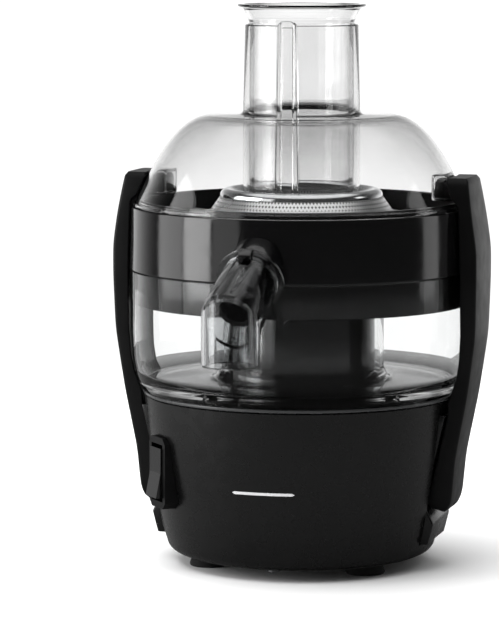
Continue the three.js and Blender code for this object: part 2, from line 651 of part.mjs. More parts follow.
function filterMesh() {
  const lean = (FILTER_BOTTOM_RADIUS - FILTER_TOP_RADIUS) / FILTER_HEIGHT;
  const thick = FILTER_SKIN * Math.hypot(1, lean);
  return solid(turned([
    [FILTER_BOTTOM_RADIUS, MESH_Z], [FILTER_TOP_RADIUS, MESH_TOP_Z],
    [FILTER_TOP_RADIUS - thick, MESH_TOP_Z], [FILTER_BOTTOM_RADIUS - thick, MESH_Z],
  ]));
}

function filterRim() {
  const z = MESH_TOP_Z + GAP;
  const crown = (FILTER_TOP_RADIUS - FILTER_MOUTH_RADIUS) / 2;
  const middle = FILTER_MOUTH_RADIUS + crown;
  const arch = arcPoints(0, 0, 1, 0, 180, 6).map(([c, s]) => [middle + crown * c, z + 3.9 * s]);
  const under = arcPoints(0, 0, 1, 180, 0, 4).map(([c, s]) => [middle + (crown - 1) * c, z + 2.7 * s]);
  return solid(turned([...arch, ...under]));
}

function graterDisc() {
  return solid(ring(HUB_RADIUS + GAP, COLUMN_RADIUS + 3, GRATER_Z, GRATER_Z + 1.3));
}

// ---------------------------------------------------------------- lid and pusher
function domeCurve(inset) {
  const foot = new THREE.Vector2(DOME_RADIUS - inset, DOME_Z + 0.4);
  const crown = new THREE.Vector2(PLATEAU_RADIUS, PLATEAU_Z - inset);
  const rise = crown.y - foot.y;
  const width = foot.x - crown.x;
  return new THREE.CubicBezierCurve(
    foot,
    new THREE.Vector2(foot.x - 0.12 * width, foot.y + 0.22 * rise),
    new THREE.Vector2(crown.x + 0.52 * width, crown.y),
    crown,
  );
}

function domeOuterAt(z) {
  const points = domeCurve(0).getPoints(40);
  const above = points.findIndex((p) => p.y >= z);
  const [a, b] = [points[Math.max(above - 1, 0)], points[Math.max(above, 1)]];
  return a.x + ((b.x - a.x) * (z - a.y)) / (b.y - a.y);
}

function lid() {
  const outer = domeCurve(0).getPoints(7).map((p) => [p.x, p.y]);
  const inner = domeCurve(LID_WALL).getPoints(7).map((p) => [p.x, p.y]).reverse();
  const tubeTop = TUBE_RADIUS - TUBE_TAPER;
  const bore = TUBE_RADIUS - TUBE_WALL;
  const rim = [[LID_RADIUS, LID_Z], [LID_RADIUS, DOME_Z], [DOME_RADIUS + 0.3, DOME_Z]];
  const tube = [
    [TUBE_RADIUS + 1, PLATEAU_Z], [TUBE_RADIUS, PLATEAU_Z + 1.4],
    [tubeTop, TUBE_TOP_Z - 0.6], [tubeTop - 0.5, TUBE_TOP_Z], [tubeTop - TUBE_WALL, TUBE_TOP_Z],
    [bore, PLATEAU_Z], [bore, TUBE_BOTTOM_Z], [TUBE_RADIUS, TUBE_BOTTOM_Z],
    [TUBE_RADIUS, PLATEAU_Z - LID_WALL],
  ];
  const base = [[DOME_RADIUS - LID_WALL, LID_Z]];
  let cover = solid(turned([...rim, ...outer, ...tube, ...inner, ...base]));
  const filled = solid(turned([[0, LID_Z], ...rim, ...outer, [0, PLATEAU_Z]]));
  for (const side of [1, -1]) {
    cover = cover.add(solid(hookPocket(side, LID_WALL)).intersect(filled));
    cover = cover.subtract(solid(hookPocket(side, 0)));
  }
  const keyway = plate([
    [-6.6, TUBE_BOTTOM_Z + 3], [6.6, TUBE_BOTTOM_Z + 3],
    [4.6, TUBE_TOP_Z + 0.4], [2.6, TUBE_TOP_Z + 2.2], [-2.6, TUBE_TOP_Z + 2.2], [-4.6, TUBE_TOP_Z + 0.4],
  ], 2.6).translate(0, -TUBE_RADIUS + 0.9, 0);
  const channel = block(-KEY_HALF_WIDTH - RUN_GAP, KEY_HALF_WIDTH + RUN_GAP, -TUBE_RADIUS - 0.3, -15,
    TUBE_BOTTOM_Z - 5, TUBE_TOP_Z + 5);
  return cover.add(solid(keyway)).subtract(solid(channel)).subtract(solid(disc(bore - TUBE_TAPER,
    TUBE_BOTTOM_Z - 5, TUBE_TOP_Z + 5)));
}

// The recess that a clamp's hook sits in, grown by a wall thickness for the lid's own wall.
function hookPocket(side, wall) {
  const tip = domeOuterAt(HOOK_Z) - HOOK_REACH - RUN_GAP - wall;
  const half = HOOK_HALF + RUN_GAP + wall;
  const box = block(tip, 120, -half, half, HOOK_Z - RUN_GAP - wall, HOOK_Z + HOOK_HEIGHT + RUN_GAP + wall);
  return side > 0 ? box : box.rotateZ(Math.PI);
}

function pusher() {
  const outer = TUBE_RADIUS - TUBE_WALL - TUBE_TAPER - RUN_GAP;
  const inner = outer - PUSHER_WALL;
  const top = PUSHER_TOP_Z;
  const cup = solid(turned([
    [0, PUSHER_BOTTOM_Z], [outer - 1.4, PUSHER_BOTTOM_Z], [outer - 0.6, PUSHER_BOTTOM_Z + 1],
    [outer, PUSHER_BOTTOM_Z + 40], [outer, TUBE_TOP_Z + 1], [outer + 1.2, top - 6],
    [outer + 3.2, top - 2.4], [PUSHER_FLANGE_RADIUS, top - 1.2], [PUSHER_FLANGE_RADIUS, top],
    [outer + 3, top], [outer + 0.6, top - 2], [inner + 0.4, top - 7],
    [inner, TUBE_TOP_Z], [inner - 0.6, PUSHER_BOTTOM_Z + 3.4], [inner - 2, PUSHER_BOTTOM_Z + 2.2],
    [0, PUSHER_BOTTOM_Z + 2.2],
  ]));
  const key = block(-KEY_HALF_WIDTH, KEY_HALF_WIDTH, -TUBE_RADIUS + 0.5, -inner - 0.6,
    PUSHER_BOTTOM_Z + 2, TUBE_TOP_Z - 1);
  return cup.add(solid(key));
}

// ---------------------------------------------------------------- motor
function shaftTop() {
  return BASKET_Z - 3;
}

function sealRadius() {
  return 12;
}

function motorShaft() {
  return solid(disc(SHAFT_RADIUS, MOTOR_Z - 21, shaftTop(), 20));
}

function armatureCore() {
  let core = solid(ring(SHAFT_RADIUS + GAP, ARMATURE_RADIUS, MOTOR_Z, MOTOR_Z + STACK_HEIGHT, 36));
  for (let i = 0; i < 12; i += 1) {
    const slot = block(ARMATURE_RADIUS - 7, ARMATURE_RADIUS + 2, -1.2, 1.2, MOTOR_Z - 1, MOTOR_Z + STACK_HEIGHT + 1);
    core = core.subtract(solid(turnZ(slot, i * 30)));
  }
  return core;
}

function armatureWinding(bottom) {
  const inner = SHAFT_RADIUS + GAP + 0.8;
  const outer = ARMATURE_RADIUS - 2.5;
  return solid(turned([
    [inner, bottom], [outer - 2, bottom], [outer, bottom + 2], [outer, bottom + 4.4],
    [outer - 2, bottom + 6.4], [inner, bottom + 6.4],
  ], 24));
}

function commutator() {
  return solid(ring(SHAFT_RADIUS + GAP, 10, MOTOR_Z - 14, MOTOR_Z - 7.4, 24));
}

function stator() {
  const bore = ARMATURE_RADIUS + AIR_GAP;
  const top = MOTOR_Z + STACK_HEIGHT;
  let core = solid(block(-STATOR_WIDTH / 2, STATOR_WIDTH / 2, -STATOR_DEPTH / 2, STATOR_DEPTH / 2, MOTOR_Z, top));
  core = core.subtract(solid(disc(bore, MOTOR_Z - 1, top + 1, 48)));
  for (const [sx, sy] of [[1, 1], [1, -1], [-1, 1], [-1, -1]]) {
    const x = [coilInnerX() - 4, coilInnerX() + COIL_THICKNESS + GAP].map((v) => v * sx).sort((a, b) => a - b);
    const y = [POLE_HALF, POLE_HALF + 9.4].map((v) => v * sy).sort((a, b) => a - b);
    core = core.subtract(solid(block(x[0], x[1], y[0], y[1], MOTOR_Z - 1, top + 1)));
  }
  return core;
}

function coilInnerX() {
  return ARMATURE_RADIUS + AIR_GAP + 1;
}

function fieldCoil(side) {
  const x0 = coilInnerX() + GAP;
  const x1 = x0 + COIL_THICKNESS - 2 * GAP;
  const top = MOTOR_Z + STACK_HEIGHT;
  const out = POLE_HALF + 9.4 - GAP;
  const outer = block(x0, x1, -out, out, MOTOR_Z - 6, top + 6);
  const hole = block(x0 - 1, x1 + 1, -POLE_HALF - GAP, POLE_HALF + GAP, MOTOR_Z - GAP, top + GAP);
  const coil = solid(outer).subtract(solid(hole));
  return mirrored(coil, side);
}

function bearing(bottom) {
  return solid(ring(SHAFT_RADIUS + 0.05, 9, bottom, bottom + 6, 24));
}

function bearingBracket(bottom, thickness) {
  let bridge = solid(block(-STATOR_WIDTH / 2, STATOR_WIDTH / 2, -12, 12, bottom, bottom + thickness));
  bridge = bridge.add(solid(disc(14, bottom, bottom + thickness, 32)));
  return bridge.subtract(solid(disc(9 + GAP, bottom - 1, bottom + thickness + 1, 24)));
}

function brushHolder(side) {
  const holder = block(-4, 4, 10.6, 26, MOTOR_Z - 14, MOTOR_Z - 7.4);
  return mirrored(solid(holder), side);
}

function coolingFan() {
  const z = BASE_TOP_Z + 6;
  let fan = solid(ring(SHAFT_RADIUS + GAP, TOWER_RADIUS - TOWER_WALL - 3, z, z + 1.6, 24));
  fan = fan.add(solid(ring(SHAFT_RADIUS + GAP, 9, z, z + 9, 24)));
  for (let i = 0; i < 9; i += 1) {
    const blade = block(8, TOWER_RADIUS - TOWER_WALL - 3.4, -0.8, 0.8, z + 1, z + 9);
    fan = fan.add(solid(turnZ(blade, i * 40)));
  }
  return fan;
}

function damper() {
  return solid(turned([
    [0, BASE_Z + COVER_THICKNESS], [7, BASE_Z + COVER_THICKNESS], [5.4, BASE_Z + 5.4],
    [7, BASE_Z + 8.6], [0, BASE_Z + 8.6],
  ], 20));
}

function motorTray() {
  const z = BASE_Z + 8.6 + GAP;
  let tray = solid(block(-44, 44, -34, 34, z, z + 2.2));
  for (const x of [-1, 1]) {
    for (const y of [-1, 1]) {
      const leg = block(x * 35 - 3, x * 35 + 3, y * 28 - 3, y * 28 + 3, z + 2, MOTOR_Z - GAP);
      tray = tray.add(solid(leg));
    }
  }
  return tray;
}

function shaftSeal() {
  const z = TOWER_TOP_Z;
  return solid(turned([
    [SHAFT_RADIUS + 0.3, z - TOWER_WALL], [sealRadius(), z - TOWER_WALL], [sealRadius(), z + GAP],
    [sealRadius() + 1.6, z + GAP], [sealRadius() + 1, z + 1.2], [SHAFT_RADIUS + 0.3, z + 1.2],
  ], SMALL_ROUND));
}

function interlockSwitch() {
  const inside = BRACKET_BACK - GAP - 1;
  return solid(block(inside - 8, inside, -10, 10, BASE_TOP_Z - 24, BASE_TOP_Z - 14));
}

// ---------------------------------------------------------------- finishes
function finish(color, roughness, metalness, opacity = 1) {
  return new THREE.MeshStandardMaterial({
    color, roughness, metalness, opacity, transparent: opacity < 1,
  });
}

const glossBlack = finish(0x0b0b0c, 0.12, 0);
const satinBlack = finish(0x2a2a2b, 0.45, 0);
const matteBlack = finish(0x161616, 0.7, 0);
const clearPlastic = finish(0xe9ecec, 0.05, 0, 0.25);
const smokePlastic = finish(0x6f7272, 0.06, 0, 0.4);
const steel = finish(0xc9cbcc, 0.22, 1);
const bareSteel = finish(0x9b9da0, 0.35, 1);
const copper = finish(0xa8643a, 0.35, 0.9);
const rubber = finish(0x1d1d1d, 0.85, 0);
const lightGrey = finish(0xa7aaab, 0.3, 0.2);

// ---------------------------------------------------------------- assembly
const juicer = new THREE.Group();
const frontReach = SPOUT_REACH + SPOUT_RADIUS;
const backReach = CONTAINER_RADIUS;
juicer.position.y = (frontReach - backReach) / 2;

function place(name, body, material, x = 0, y = 0) {
  const mesh = new THREE.Mesh(shellGeometry(body), material);
  mesh.name = name;
  mesh.position.set(x, y, 0);
  juicer.add(mesh);
}

place('base_shell', baseShell(), glossBlack);
place('upper_housing', upperHousing(), satinBlack);
place('drive_tower', driveTower(), satinBlack);
place('trim_ring', trimRing(), lightGrey);
place('bottom_cover', bottomCover(), matteBlack);
for (const [name, angle] of [['front_right', -FOOT_ANGLE], ['front_left', FOOT_ANGLE - 180],
  ['rear_right', FOOT_ANGLE], ['rear_left', 180 - FOOT_ANGLE]]) {
  const turn = THREE.MathUtils.degToRad(angle);
  place(`foot_${name}`, foot(), rubber, FOOT_CIRCLE * Math.cos(turn), FOOT_CIRCLE * Math.sin(turn));
}
for (let i = 0; i < 4; i += 1) {
  const turn = (i * Math.PI) / 2;
  place(`bottom_screw_${i + 1}`, bottomScrew(), bareSteel,
    SCREW_CIRCLE * Math.cos(turn), SCREW_CIRCLE * Math.sin(turn));
}
place('cord_gland', cordGland(), rubber);
place('switch_housing', switchHousing(), satinBlack);
place('power_rocker', powerRocker(), glossBlack);

for (const [name, side] of [['right', 1], ['left', -1]]) {
  place(`clamp_bracket_${name}`, clampBracket(side), glossBlack);
  place(`clamp_pin_${name}`, clampPin(side), bareSteel);
  place(`clamp_arm_${name}`, clampArm(side), satinBlack);
}

place('pulp_container', pulpContainer(), clearPlastic);
place('juice_collector', juiceCollector(), glossBlack);
place('spout', spout(), smokePlastic);
place('filter_base', filterBase(), matteBlack);
place('filter_mesh', filterMesh(), steel);
place('filter_rim', filterRim(), steel);
place('grater_disc', graterDisc(), steel);
place('lid', lid(), clearPlastic);
place('pusher', pusher(), clearPlastic);

place('motor_shaft', motorShaft(), bareSteel);
place('drive_coupling', driveCoupling(), matteBlack);
place('armature_core', armatureCore(), bareSteel);
place('armature_winding_upper', armatureWinding(MOTOR_Z + STACK_HEIGHT + GAP), copper);
place('armature_winding_lower', armatureWinding(MOTOR_Z - 6.4 - GAP), copper);
place('commutator', commutator(), copper);
place('cooling_fan', coolingFan(), matteBlack);
place('stator_core', stator(), bareSteel);
place('field_coil_right', fieldCoil(1), copper);
place('field_coil_left', fieldCoil(-1), copper);
place('upper_bearing', bearing(MOTOR_Z + STACK_HEIGHT + 7.6), bareSteel);
place('lower_bearing', bearing(MOTOR_Z - 20.6), bareSteel);
place('upper_bearing_bracket', bearingBracket(MOTOR_Z + STACK_HEIGHT + 8, 4), bareSteel);
place('lower_bearing_bracket', bearingBracket(MOTOR_Z - 19.6, 3.6), bareSteel);
place('brush_holder_rear', brushHolder(1), matteBlack);
place('brush_holder_front', brushHolder(-1), matteBlack);
place('motor_tray', motorTray(), bareSteel);
for (const [name, x, y] of [['front_right', 1, -1], ['front_left', -1, -1],
  ['rear_right', 1, 1], ['rear_left', -1, 1]]) {
  place(`motor_damper_${name}`, damper(), rubber, 36 * x, 26 * y);
}
place('shaft_seal', shaftSeal(), rubber);
place('interlock_switch', interlockSwitch(), matteBlack);

export default juicer;
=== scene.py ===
import json
import math

import bmesh
import bpy
from mathutils import Matrix, Vector


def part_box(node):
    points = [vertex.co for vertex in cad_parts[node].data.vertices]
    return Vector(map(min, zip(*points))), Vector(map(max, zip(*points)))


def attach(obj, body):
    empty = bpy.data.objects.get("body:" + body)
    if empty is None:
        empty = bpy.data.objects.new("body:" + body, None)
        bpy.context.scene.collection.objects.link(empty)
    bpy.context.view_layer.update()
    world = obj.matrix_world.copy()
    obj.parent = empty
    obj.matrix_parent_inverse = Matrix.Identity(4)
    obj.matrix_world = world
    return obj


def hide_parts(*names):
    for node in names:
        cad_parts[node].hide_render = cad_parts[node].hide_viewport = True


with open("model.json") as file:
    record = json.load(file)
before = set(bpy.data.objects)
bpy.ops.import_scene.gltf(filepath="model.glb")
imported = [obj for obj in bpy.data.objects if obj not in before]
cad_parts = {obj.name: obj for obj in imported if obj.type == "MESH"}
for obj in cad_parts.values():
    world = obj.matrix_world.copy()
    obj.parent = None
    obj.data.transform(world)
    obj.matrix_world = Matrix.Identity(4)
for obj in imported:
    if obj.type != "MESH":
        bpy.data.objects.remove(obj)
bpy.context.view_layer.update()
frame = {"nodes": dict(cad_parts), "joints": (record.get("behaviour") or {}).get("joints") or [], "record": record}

MM = 0.001
GAP = 0.35 * MM
ROUND_STEPS = 144

# ------------------------------------------------------------------ places taken from the frame
joints = {joint["name"]: joint for joint in frame["joints"]}
AXIS_Y = joints["rotor_spin"]["pos_m"][1]
PIVOT_X = joints["clamp_right_swing"]["pos_m"][0]
PIVOT_Z = joints["clamp_right_swing"]["pos_m"][2]
SPOUT_ROOT = Vector(joints["spout_twist"]["pos_m"])
SPOUT_AXIS = Vector(joints["spout_twist"]["axis"]).normalized()


def levels(node):
    low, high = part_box(node)
    return low.z, high.z


def reach(node):
    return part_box(node)[1].x


BASE_Z, BASE_TOP_Z = levels("base_shell")
TRIM_Z, TRIM_TOP_Z = levels("trim_ring")
TUB_Z, TUB_TOP_Z = levels("pulp_container")
COLLECTOR_LOW_Z, LIP_TOP_Z = levels("juice_collector")
MESH_Z, MESH_TOP_Z = levels("filter_mesh")
RIM_Z, RIM_TOP_Z = levels("filter_rim")
TUBE_BOTTOM_Z, KEYWAY_TOP_Z = levels("lid")
PUSHER_BOTTOM_Z, PUSHER_TOP_Z = levels("pusher")
CLAMP_LOW_Z, CLAMP_TOP_Z = levels("clamp_arm_right")
BRACKET_LOW_Z, BRACKET_TOP_Z = levels("clamp_bracket_right")
SPOUT_MOUTH_Z = levels("spout")[0]
SPOUT_FRONT_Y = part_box("spout")[0].y

BASE_TOP_R = reach("base_shell")
TUB_R = reach("pulp_container")
LID_R = reach("lid")
MESH_R = reach("filter_mesh")
RIM_R = reach("filter_rim")
FLANGE_R = reach("pusher")
CLAMP_OUT_X = reach("clamp_arm_right")
CLAMP_HALF = (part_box("clamp_arm_right")[1].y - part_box("clamp_arm_right")[0].y) / 2

RING_Z = TUB_TOP_Z + GAP
RING_TOP_Z = LIP_TOP_Z - 2.9 * MM
LID_Z = RING_TOP_Z + GAP
DOME_Z = LID_Z + 1.9 * MM
DOME_R = LID_R - 1.6 * MM
PLATEAU_Z = LID_Z + 46.3 * MM
TUBE_TOP_Z = PLATEAU_Z + 45.7 * MM
FLOOR_Z = TUB_Z + 5.2 * MM
TOWER_R = 37.8 * MM
COLUMN_R = TOWER_R + 4.6 * MM
RING_TOP_R = LID_R + 0.6 * MM
WALL_X = TUB_R + 0.9 * MM
HOOK_Z = LIP_TOP_Z + 2.85 * MM
HOOK_REACH = 12.2 * MM
HOOK_HEIGHT = 10.4 * MM
HOOK_HALF = 8.5 * MM
BRACKET_HALF = 20 * MM


# ------------------------------------------------------------------ mesh helpers
def add_object(name, mesh):
    obj = bpy.data.objects.new(name, mesh)
    bpy.context.scene.collection.objects.link(obj)
    return obj


def mesh_object(name, vertices, faces):
    mesh = bpy.data.meshes.new(name)
    mesh.from_pydata(vertices, [], faces)
    mesh.update()
    bm = bmesh.new()
    bm.from_mesh(mesh)
    bmesh.ops.remove_doubles(bm, verts=bm.verts, dist=1e-7)
    bmesh.ops.recalc_face_normals(bm, faces=bm.faces)
    bm.to_mesh(mesh)
    bm.free()
    return add_object(name, mesh)


def softened(points, radius, steps=4):
    """The closed outline with each corner rounded, as far as its sides allow."""
    rounded = []
    count = len(points)
    for i, point in enumerate(points):
        here = Vector(point[:2])
        before = Vector(points[i - 1][:2]) - here
        after = Vector(points[(i + 1) % count][:2]) - here
        wanted = point[2] if len(point) > 2 else radius
        angle = before.angle(after, math.pi)
        if wanted <= 0 or angle > math.radians(168):
            rounded.append(tuple(here))
            continue
        room = 0.45 * min(before.length, after.length)
        back = min(wanted / math.tan(angle / 2), room)
        start = here + before.normalized() * back
        end = here + after.normalized() * back
        for k in range(steps + 1):
            t = k / steps
            rounded.append(tuple(start * (1 - t) ** 2 + here * 2 * t * (1 - t) + end * t * t))
    return rounded


def revolve(name, profile, segments=ROUND_STEPS, open_ends=False):
    """A profile of (radius, z) turned round the drive axis; closed, or ending on the axis."""
    vertices = []
    faces = []
    count = len(profile)
    for s in range(segments):
        angle = 2 * math.pi * s / segments
        for radius, z in profile:
            vertices.append((radius * math.sin(angle), -radius * math.cos(angle) + AXIS_Y, z))
    last = count - 1 if open_ends else count
    for s in range(segments):
        a, b = s * count, ((s + 1) % segments) * count
        for i in range(last):
            j = (i + 1) % count
            faces.append((a + i, a + j, b + j, b + i))
    return mesh_object(name, vertices, faces)


def loft(name, rings, cap=True):
    """Joins rings of equally many points into one closed skin."""
    count = len(rings[0])
    vertices = [tuple(point) for ring in rings for point in ring]
    faces = []
    for k in range(len(rings) - 1):
        for i in range(count):
            j = (i + 1) % count
            faces.append((k * count + i, k * count + j, (k + 1) * count + j, (k + 1) * count + i))
    if cap:
        faces.append(tuple(range(count)))
        faces.append(tuple(range((len(rings) - 1) * count, len(rings) * count)))
    else:
        k = len(rings) - 1
        for i in range(count):
            j = (i + 1) % count
            faces.append((k * count + i, k * count + j, j, i))
    return mesh_object(name, vertices, faces)


def box_object(name, low, high):
    size = Vector(high) - Vector(low)
    bm = bmesh.new()
    bmesh.ops.create_cube(bm, size=1)
    bmesh.ops.scale(bm, vec=size, verts=bm.verts)
    bmesh.ops.translate(bm, vec=(Vector(high) + Vector(low)) / 2, verts=bm.verts)
    mesh = bpy.data.meshes.new(name)
    bm.to_mesh(mesh)
    bm.free()
    return add_object(name, mesh)


def prism(name, outline, half):
    """An outline in X and Z, as deep as 2 * half along Y about the drive axis."""
    near = [(x, AXIS_Y - half, z) for x, z in outline]
    far = [(x, AXIS_Y + half, z) for x, z in outline]
    return loft(name, [near, far])


def baked(obj):
    """Applies the object's modifiers to its mesh."""
    bpy.context.view_layer.update()
    depsgraph = bpy.context.evaluated_depsgraph_get()
    made = bpy.data.meshes.new_from_object(obj.evaluated_get(depsgraph))
    obj.modifiers.clear()
    obj.data = made
    return obj


def combine(obj, other, operation):
    modifier = obj.modifiers.new("combine", "BOOLEAN")
    modifier.operation = operation
    modifier.solver = "EXACT"
    modifier.object = other
    baked(obj)
    bpy.data.objects.remove(other)
    return obj


def bevelled(obj, width, segments=3, angle=30):
    modifier = obj.modifiers.new("bevel", "BEVEL")
    modifier.width = width
    modifier.segments = segments
    modifier.limit_method = "ANGLE"
    modifier.angle_limit = math.radians(angle)
    return baked(obj)


def smoothed(obj, angle=32):
    obj.data.polygons.foreach_set("use_smooth", [True] * len(obj.data.polygons))
    obj.data.set_sharp_from_angle(angle=math.radians(angle))
    return obj


def arc(cx, cz, radius, start, end, steps):
    angles = [math.radians(start + (end - start) * i / steps) for i in range(steps + 1)]
    return [(cx + radius * math.cos(a), cz + radius * math.sin(a)) for a in angles]


def mirror_copy(obj, name):
    """The same piece on the other side: half a turn round the drive axis."""
    copy = add_object(name, obj.data.copy())
    turn = Matrix.Translation((0, AXIS_Y, 0)) @ Matrix.Rotation(math.pi, 4, "Z")
    copy.data.transform(turn @ Matrix.Translation((0, -AXIS_Y, 0)))
    return copy


def finished(obj, material, body, slot, *nodes, angle=32):
    smoothed(obj, angle)
    obj.data.materials.clear()
    obj.data.materials.append(material)
    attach(obj, body)
    if nodes:
        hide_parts(*nodes)
    return obj


# ------------------------------------------------------------------ materials
SKIN_DEPTH = 0.05 * MM


def new_material(name):
    material = bpy.data.materials.new(name)
    material.use_nodes = True
    tree = material.node_tree
    return material, tree, tree.nodes["Principled BSDF"]


def add_node(tree, kind, **values):
    node = tree.nodes.new(kind)
    for key, value in values.items():
        node.inputs[key].default_value = value
    return node


def object_place(tree):
    return tree.nodes.new("ShaderNodeTexCoord").outputs["Object"]


def object_axes(tree):
    split = tree.nodes.new("ShaderNodeSeparateXYZ")
    tree.links.new(object_place(tree), split.inputs["Vector"])
    return split.outputs


def noise(tree, scale, detail=4.0):
    node = add_node(tree, "ShaderNodeTexNoise", Scale=scale, Detail=detail)
    tree.links.new(object_place(tree), node.inputs["Vector"])
    return node


def ranged(tree, source, low, high, start=0.3, end=0.7):
    node = add_node(tree, "ShaderNodeMapRange")
    node.inputs["From Min"].default_value = start
    node.inputs["From Max"].default_value = end
    node.inputs["To Min"].default_value = low
    node.inputs["To Max"].default_value = high
    tree.links.new(source, node.inputs["Value"])
    return node.outputs["Result"]


def tinted(tree, factor, first, second):
    ramp = tree.nodes.new("ShaderNodeValToRGB")
    ramp.color_ramp.elements[0].color = (*first, 1)
    ramp.color_ramp.elements[1].color = (*second, 1)
    ramp.color_ramp.elements[0].position = 0.35
    ramp.color_ramp.elements[1].position = 0.65
    tree.links.new(factor, ramp.inputs["Fac"])
    return ramp.outputs["Color"]


def bump(tree, shader, source, strength, distance):
    node = add_node(tree, "ShaderNodeBump", Strength=strength, Distance=distance)
    tree.links.new(source, node.inputs["Height"])
    tree.links.new(node.outputs["Normal"], shader.inputs["Normal"])


def math_node(tree, operation, first, second=None):
    node = tree.nodes.new("ShaderNodeMath")
    node.operation = operation
    for socket, value in zip(node.inputs, (first, second)):
        if value is None:
            continue
        if isinstance(value, (int, float)):
            socket.default_value = value
        else:
            tree.links.new(value, socket)
    return node.outputs[0]


def moulded(name, dark, light, rough, grain, sheen):
    """Moulded plastic or rubber: slight colour drift, uneven polish and a fine skin texture.

    rough is the polish from smoothest to dullest; grain is the skin's (scale, strength).
    """
    material, tree, shader = new_material(name)
    cloud = noise(tree, 22, 3)
    tree.links.new(tinted(tree, cloud.outputs["Fac"], dark, light), shader.inputs["Base Color"])
    wear = noise(tree, 140, 5)
    tree.links.new(ranged(tree, wear.outputs["Fac"], *rough), shader.inputs["Roughness"])
    skin_scale, skin_strength = grain
    skin = noise(tree, skin_scale, 2)
    bump(tree, shader, skin.outputs["Fac"], skin_strength, SKIN_DEPTH)
    shader.inputs["IOR"].default_value = 1.5
    shader.inputs["Specular IOR Level"].default_value = sheen
    return material


def clear_plastic(name, first, second, rough_low, rough_high, index=1.47, painted_shade=()):
    """Polished clear plastic with faint flow marks and a little haze.

    The painted shade argument is (level, darkest level, level, share): painted shade darkens the plastic round the
    middle level, down to share of its colour there.
    """
    material, tree, shader = new_material(name)
    haze = noise(tree, 60, 4)
    colour = tinted(tree, haze.outputs["Fac"], first, second)
    # painted shade: the colour is darkened in a band by height
    if painted_shade:
        start, darkest, end, share = painted_shade
        height = object_axes(tree)["Z"]
        rising = ranged(tree, height, 0.0, 1.0, start, darkest)
        falling = ranged(tree, height, 1.0, 0.0, darkest, end)
        depth = math_node(tree, "MULTIPLY", math_node(tree, "MULTIPLY", rising, falling), 1 - share)
        kept = math_node(tree, "SUBTRACT", 1.0, depth)
        scaled = tree.nodes.new("ShaderNodeVectorMath")
        scaled.operation = "SCALE"
        tree.links.new(colour, scaled.inputs[0])
        tree.links.new(kept, scaled.inputs["Scale"])
        colour = scaled.outputs["Vector"]
    tree.links.new(colour, shader.inputs["Base Color"])
    tree.links.new(ranged(tree, haze.outputs["Fac"], rough_low, rough_high), shader.inputs["Roughness"])
    flow = noise(tree, 12, 1)
    bump(tree, shader, flow.outputs["Fac"], 0.04, 0.0004)
    shader.inputs["IOR"].default_value = index
    shader.inputs["Transmission Weight"].default_value = 1.0
    return material


def steel(name, first, second, rough_low, rough_high, stretch=(1, 1, 14)):
    """Steel with a fine brushed grain that runs round the part."""
    material, tree, shader = new_material(name)
    mapping = add_node(tree, "ShaderNodeMapping", Scale=stretch)
    grain = add_node(tree, "ShaderNodeTexNoise", Scale=180.0, Detail=4.0)
    tree.links.new(object_place(tree), mapping.inputs["Vector"])
    tree.links.new(mapping.outputs["Vector"], grain.inputs["Vector"])
    tree.links.new(tinted(tree, grain.outputs["Fac"], first, second), shader.inputs["Base Color"])
    tree.links.new(ranged(tree, grain.outputs["Fac"], rough_low, rough_high), shader.inputs["Roughness"])
    bump(tree, shader, grain.outputs["Fac"], 0.08, SKIN_DEPTH)
    shader.inputs["Metallic"].default_value = 1.0
    return material


def perforated_steel(name, holes_round, row_pitch):
    """Bright sheet with staggered fine holes, laid out by the angle round the drive axis."""
    material, tree, shader = new_material(name)
    place = object_axes(tree)
    depth = math_node(tree, "SUBTRACT", place["Y"], AXIS_Y)
    angle = math_node(tree, "ARCTAN2", place["X"], depth)
    across = math_node(tree, "MULTIPLY", angle, holes_round / (2 * math.pi))
    rows = math_node(tree, "DIVIDE", place["Z"], row_pitch)
    shifted = math_node(tree, "MULTIPLY", math_node(tree, "FLOOR", rows), 0.5)
    column = math_node(tree, "FRACT", math_node(tree, "ADD", across, shifted))
    row = math_node(tree, "FRACT", rows)
    dx = math_node(tree, "ABSOLUTE", math_node(tree, "SUBTRACT", column, 0.5))
    dz = math_node(tree, "ABSOLUTE", math_node(tree, "SUBTRACT", row, 0.5))
    distance = math_node(tree, "ADD", dx, dz)
    solid_share = ranged(tree, distance, 0.0, 1.0, 0.28, 0.36)
    cloud = noise(tree, 30, 3)
    ramp = tree.nodes.new("ShaderNodeValToRGB")
    ramp.color_ramp.elements[0].color = (0.10, 0.10, 0.10, 1)
    ramp.color_ramp.elements[1].color = (0.92, 0.92, 0.92, 1)
    tree.links.new(solid_share, ramp.inputs["Fac"])
    tree.links.new(ramp.outputs["Color"], shader.inputs["Base Color"])
    tree.links.new(ranged(tree, cloud.outputs["Fac"], 0.24, 0.36), shader.inputs["Roughness"])
    bump(tree, shader, solid_share, 0.5, 0.0002)
    shader.inputs["Metallic"].default_value = 0.9
    return material


gloss_black = moulded(
    "gloss_black", (0.002, 0.002, 0.002), (0.003, 0.003, 0.0032),
    rough=(0.09, 0.15), grain=(900, 0.03), sheen=0.5,
)
base_black = moulded(
    "base_black", (0.0015, 0.0015, 0.0015), (0.0025, 0.0025, 0.0025),
    rough=(0.24, 0.31), grain=(1400, 0.08), sheen=0.4,
)
tower_black = moulded(
    "tower_black", (0.002, 0.002, 0.002), (0.003, 0.003, 0.003),
    rough=(0.12, 0.18), grain=(900, 0.03), sheen=1.0,
)
satin_black = moulded(
    "satin_black", (0.003, 0.003, 0.0031), (0.005, 0.005, 0.0051),
    rough=(0.38, 0.46), grain=(2200, 0.2), sheen=0.14,
)
matte_black = moulded(
    "matte_black", (0.012, 0.012, 0.012), (0.018, 0.018, 0.018),
    rough=(0.55, 0.7), grain=(1800, 0.3), sheen=0.4,
)
rubber = moulded(
    "black_rubber", (0.008, 0.008, 0.008), (0.014, 0.014, 0.0135),
    rough=(0.75, 0.9), grain=(1500, 0.4), sheen=0.3,
)
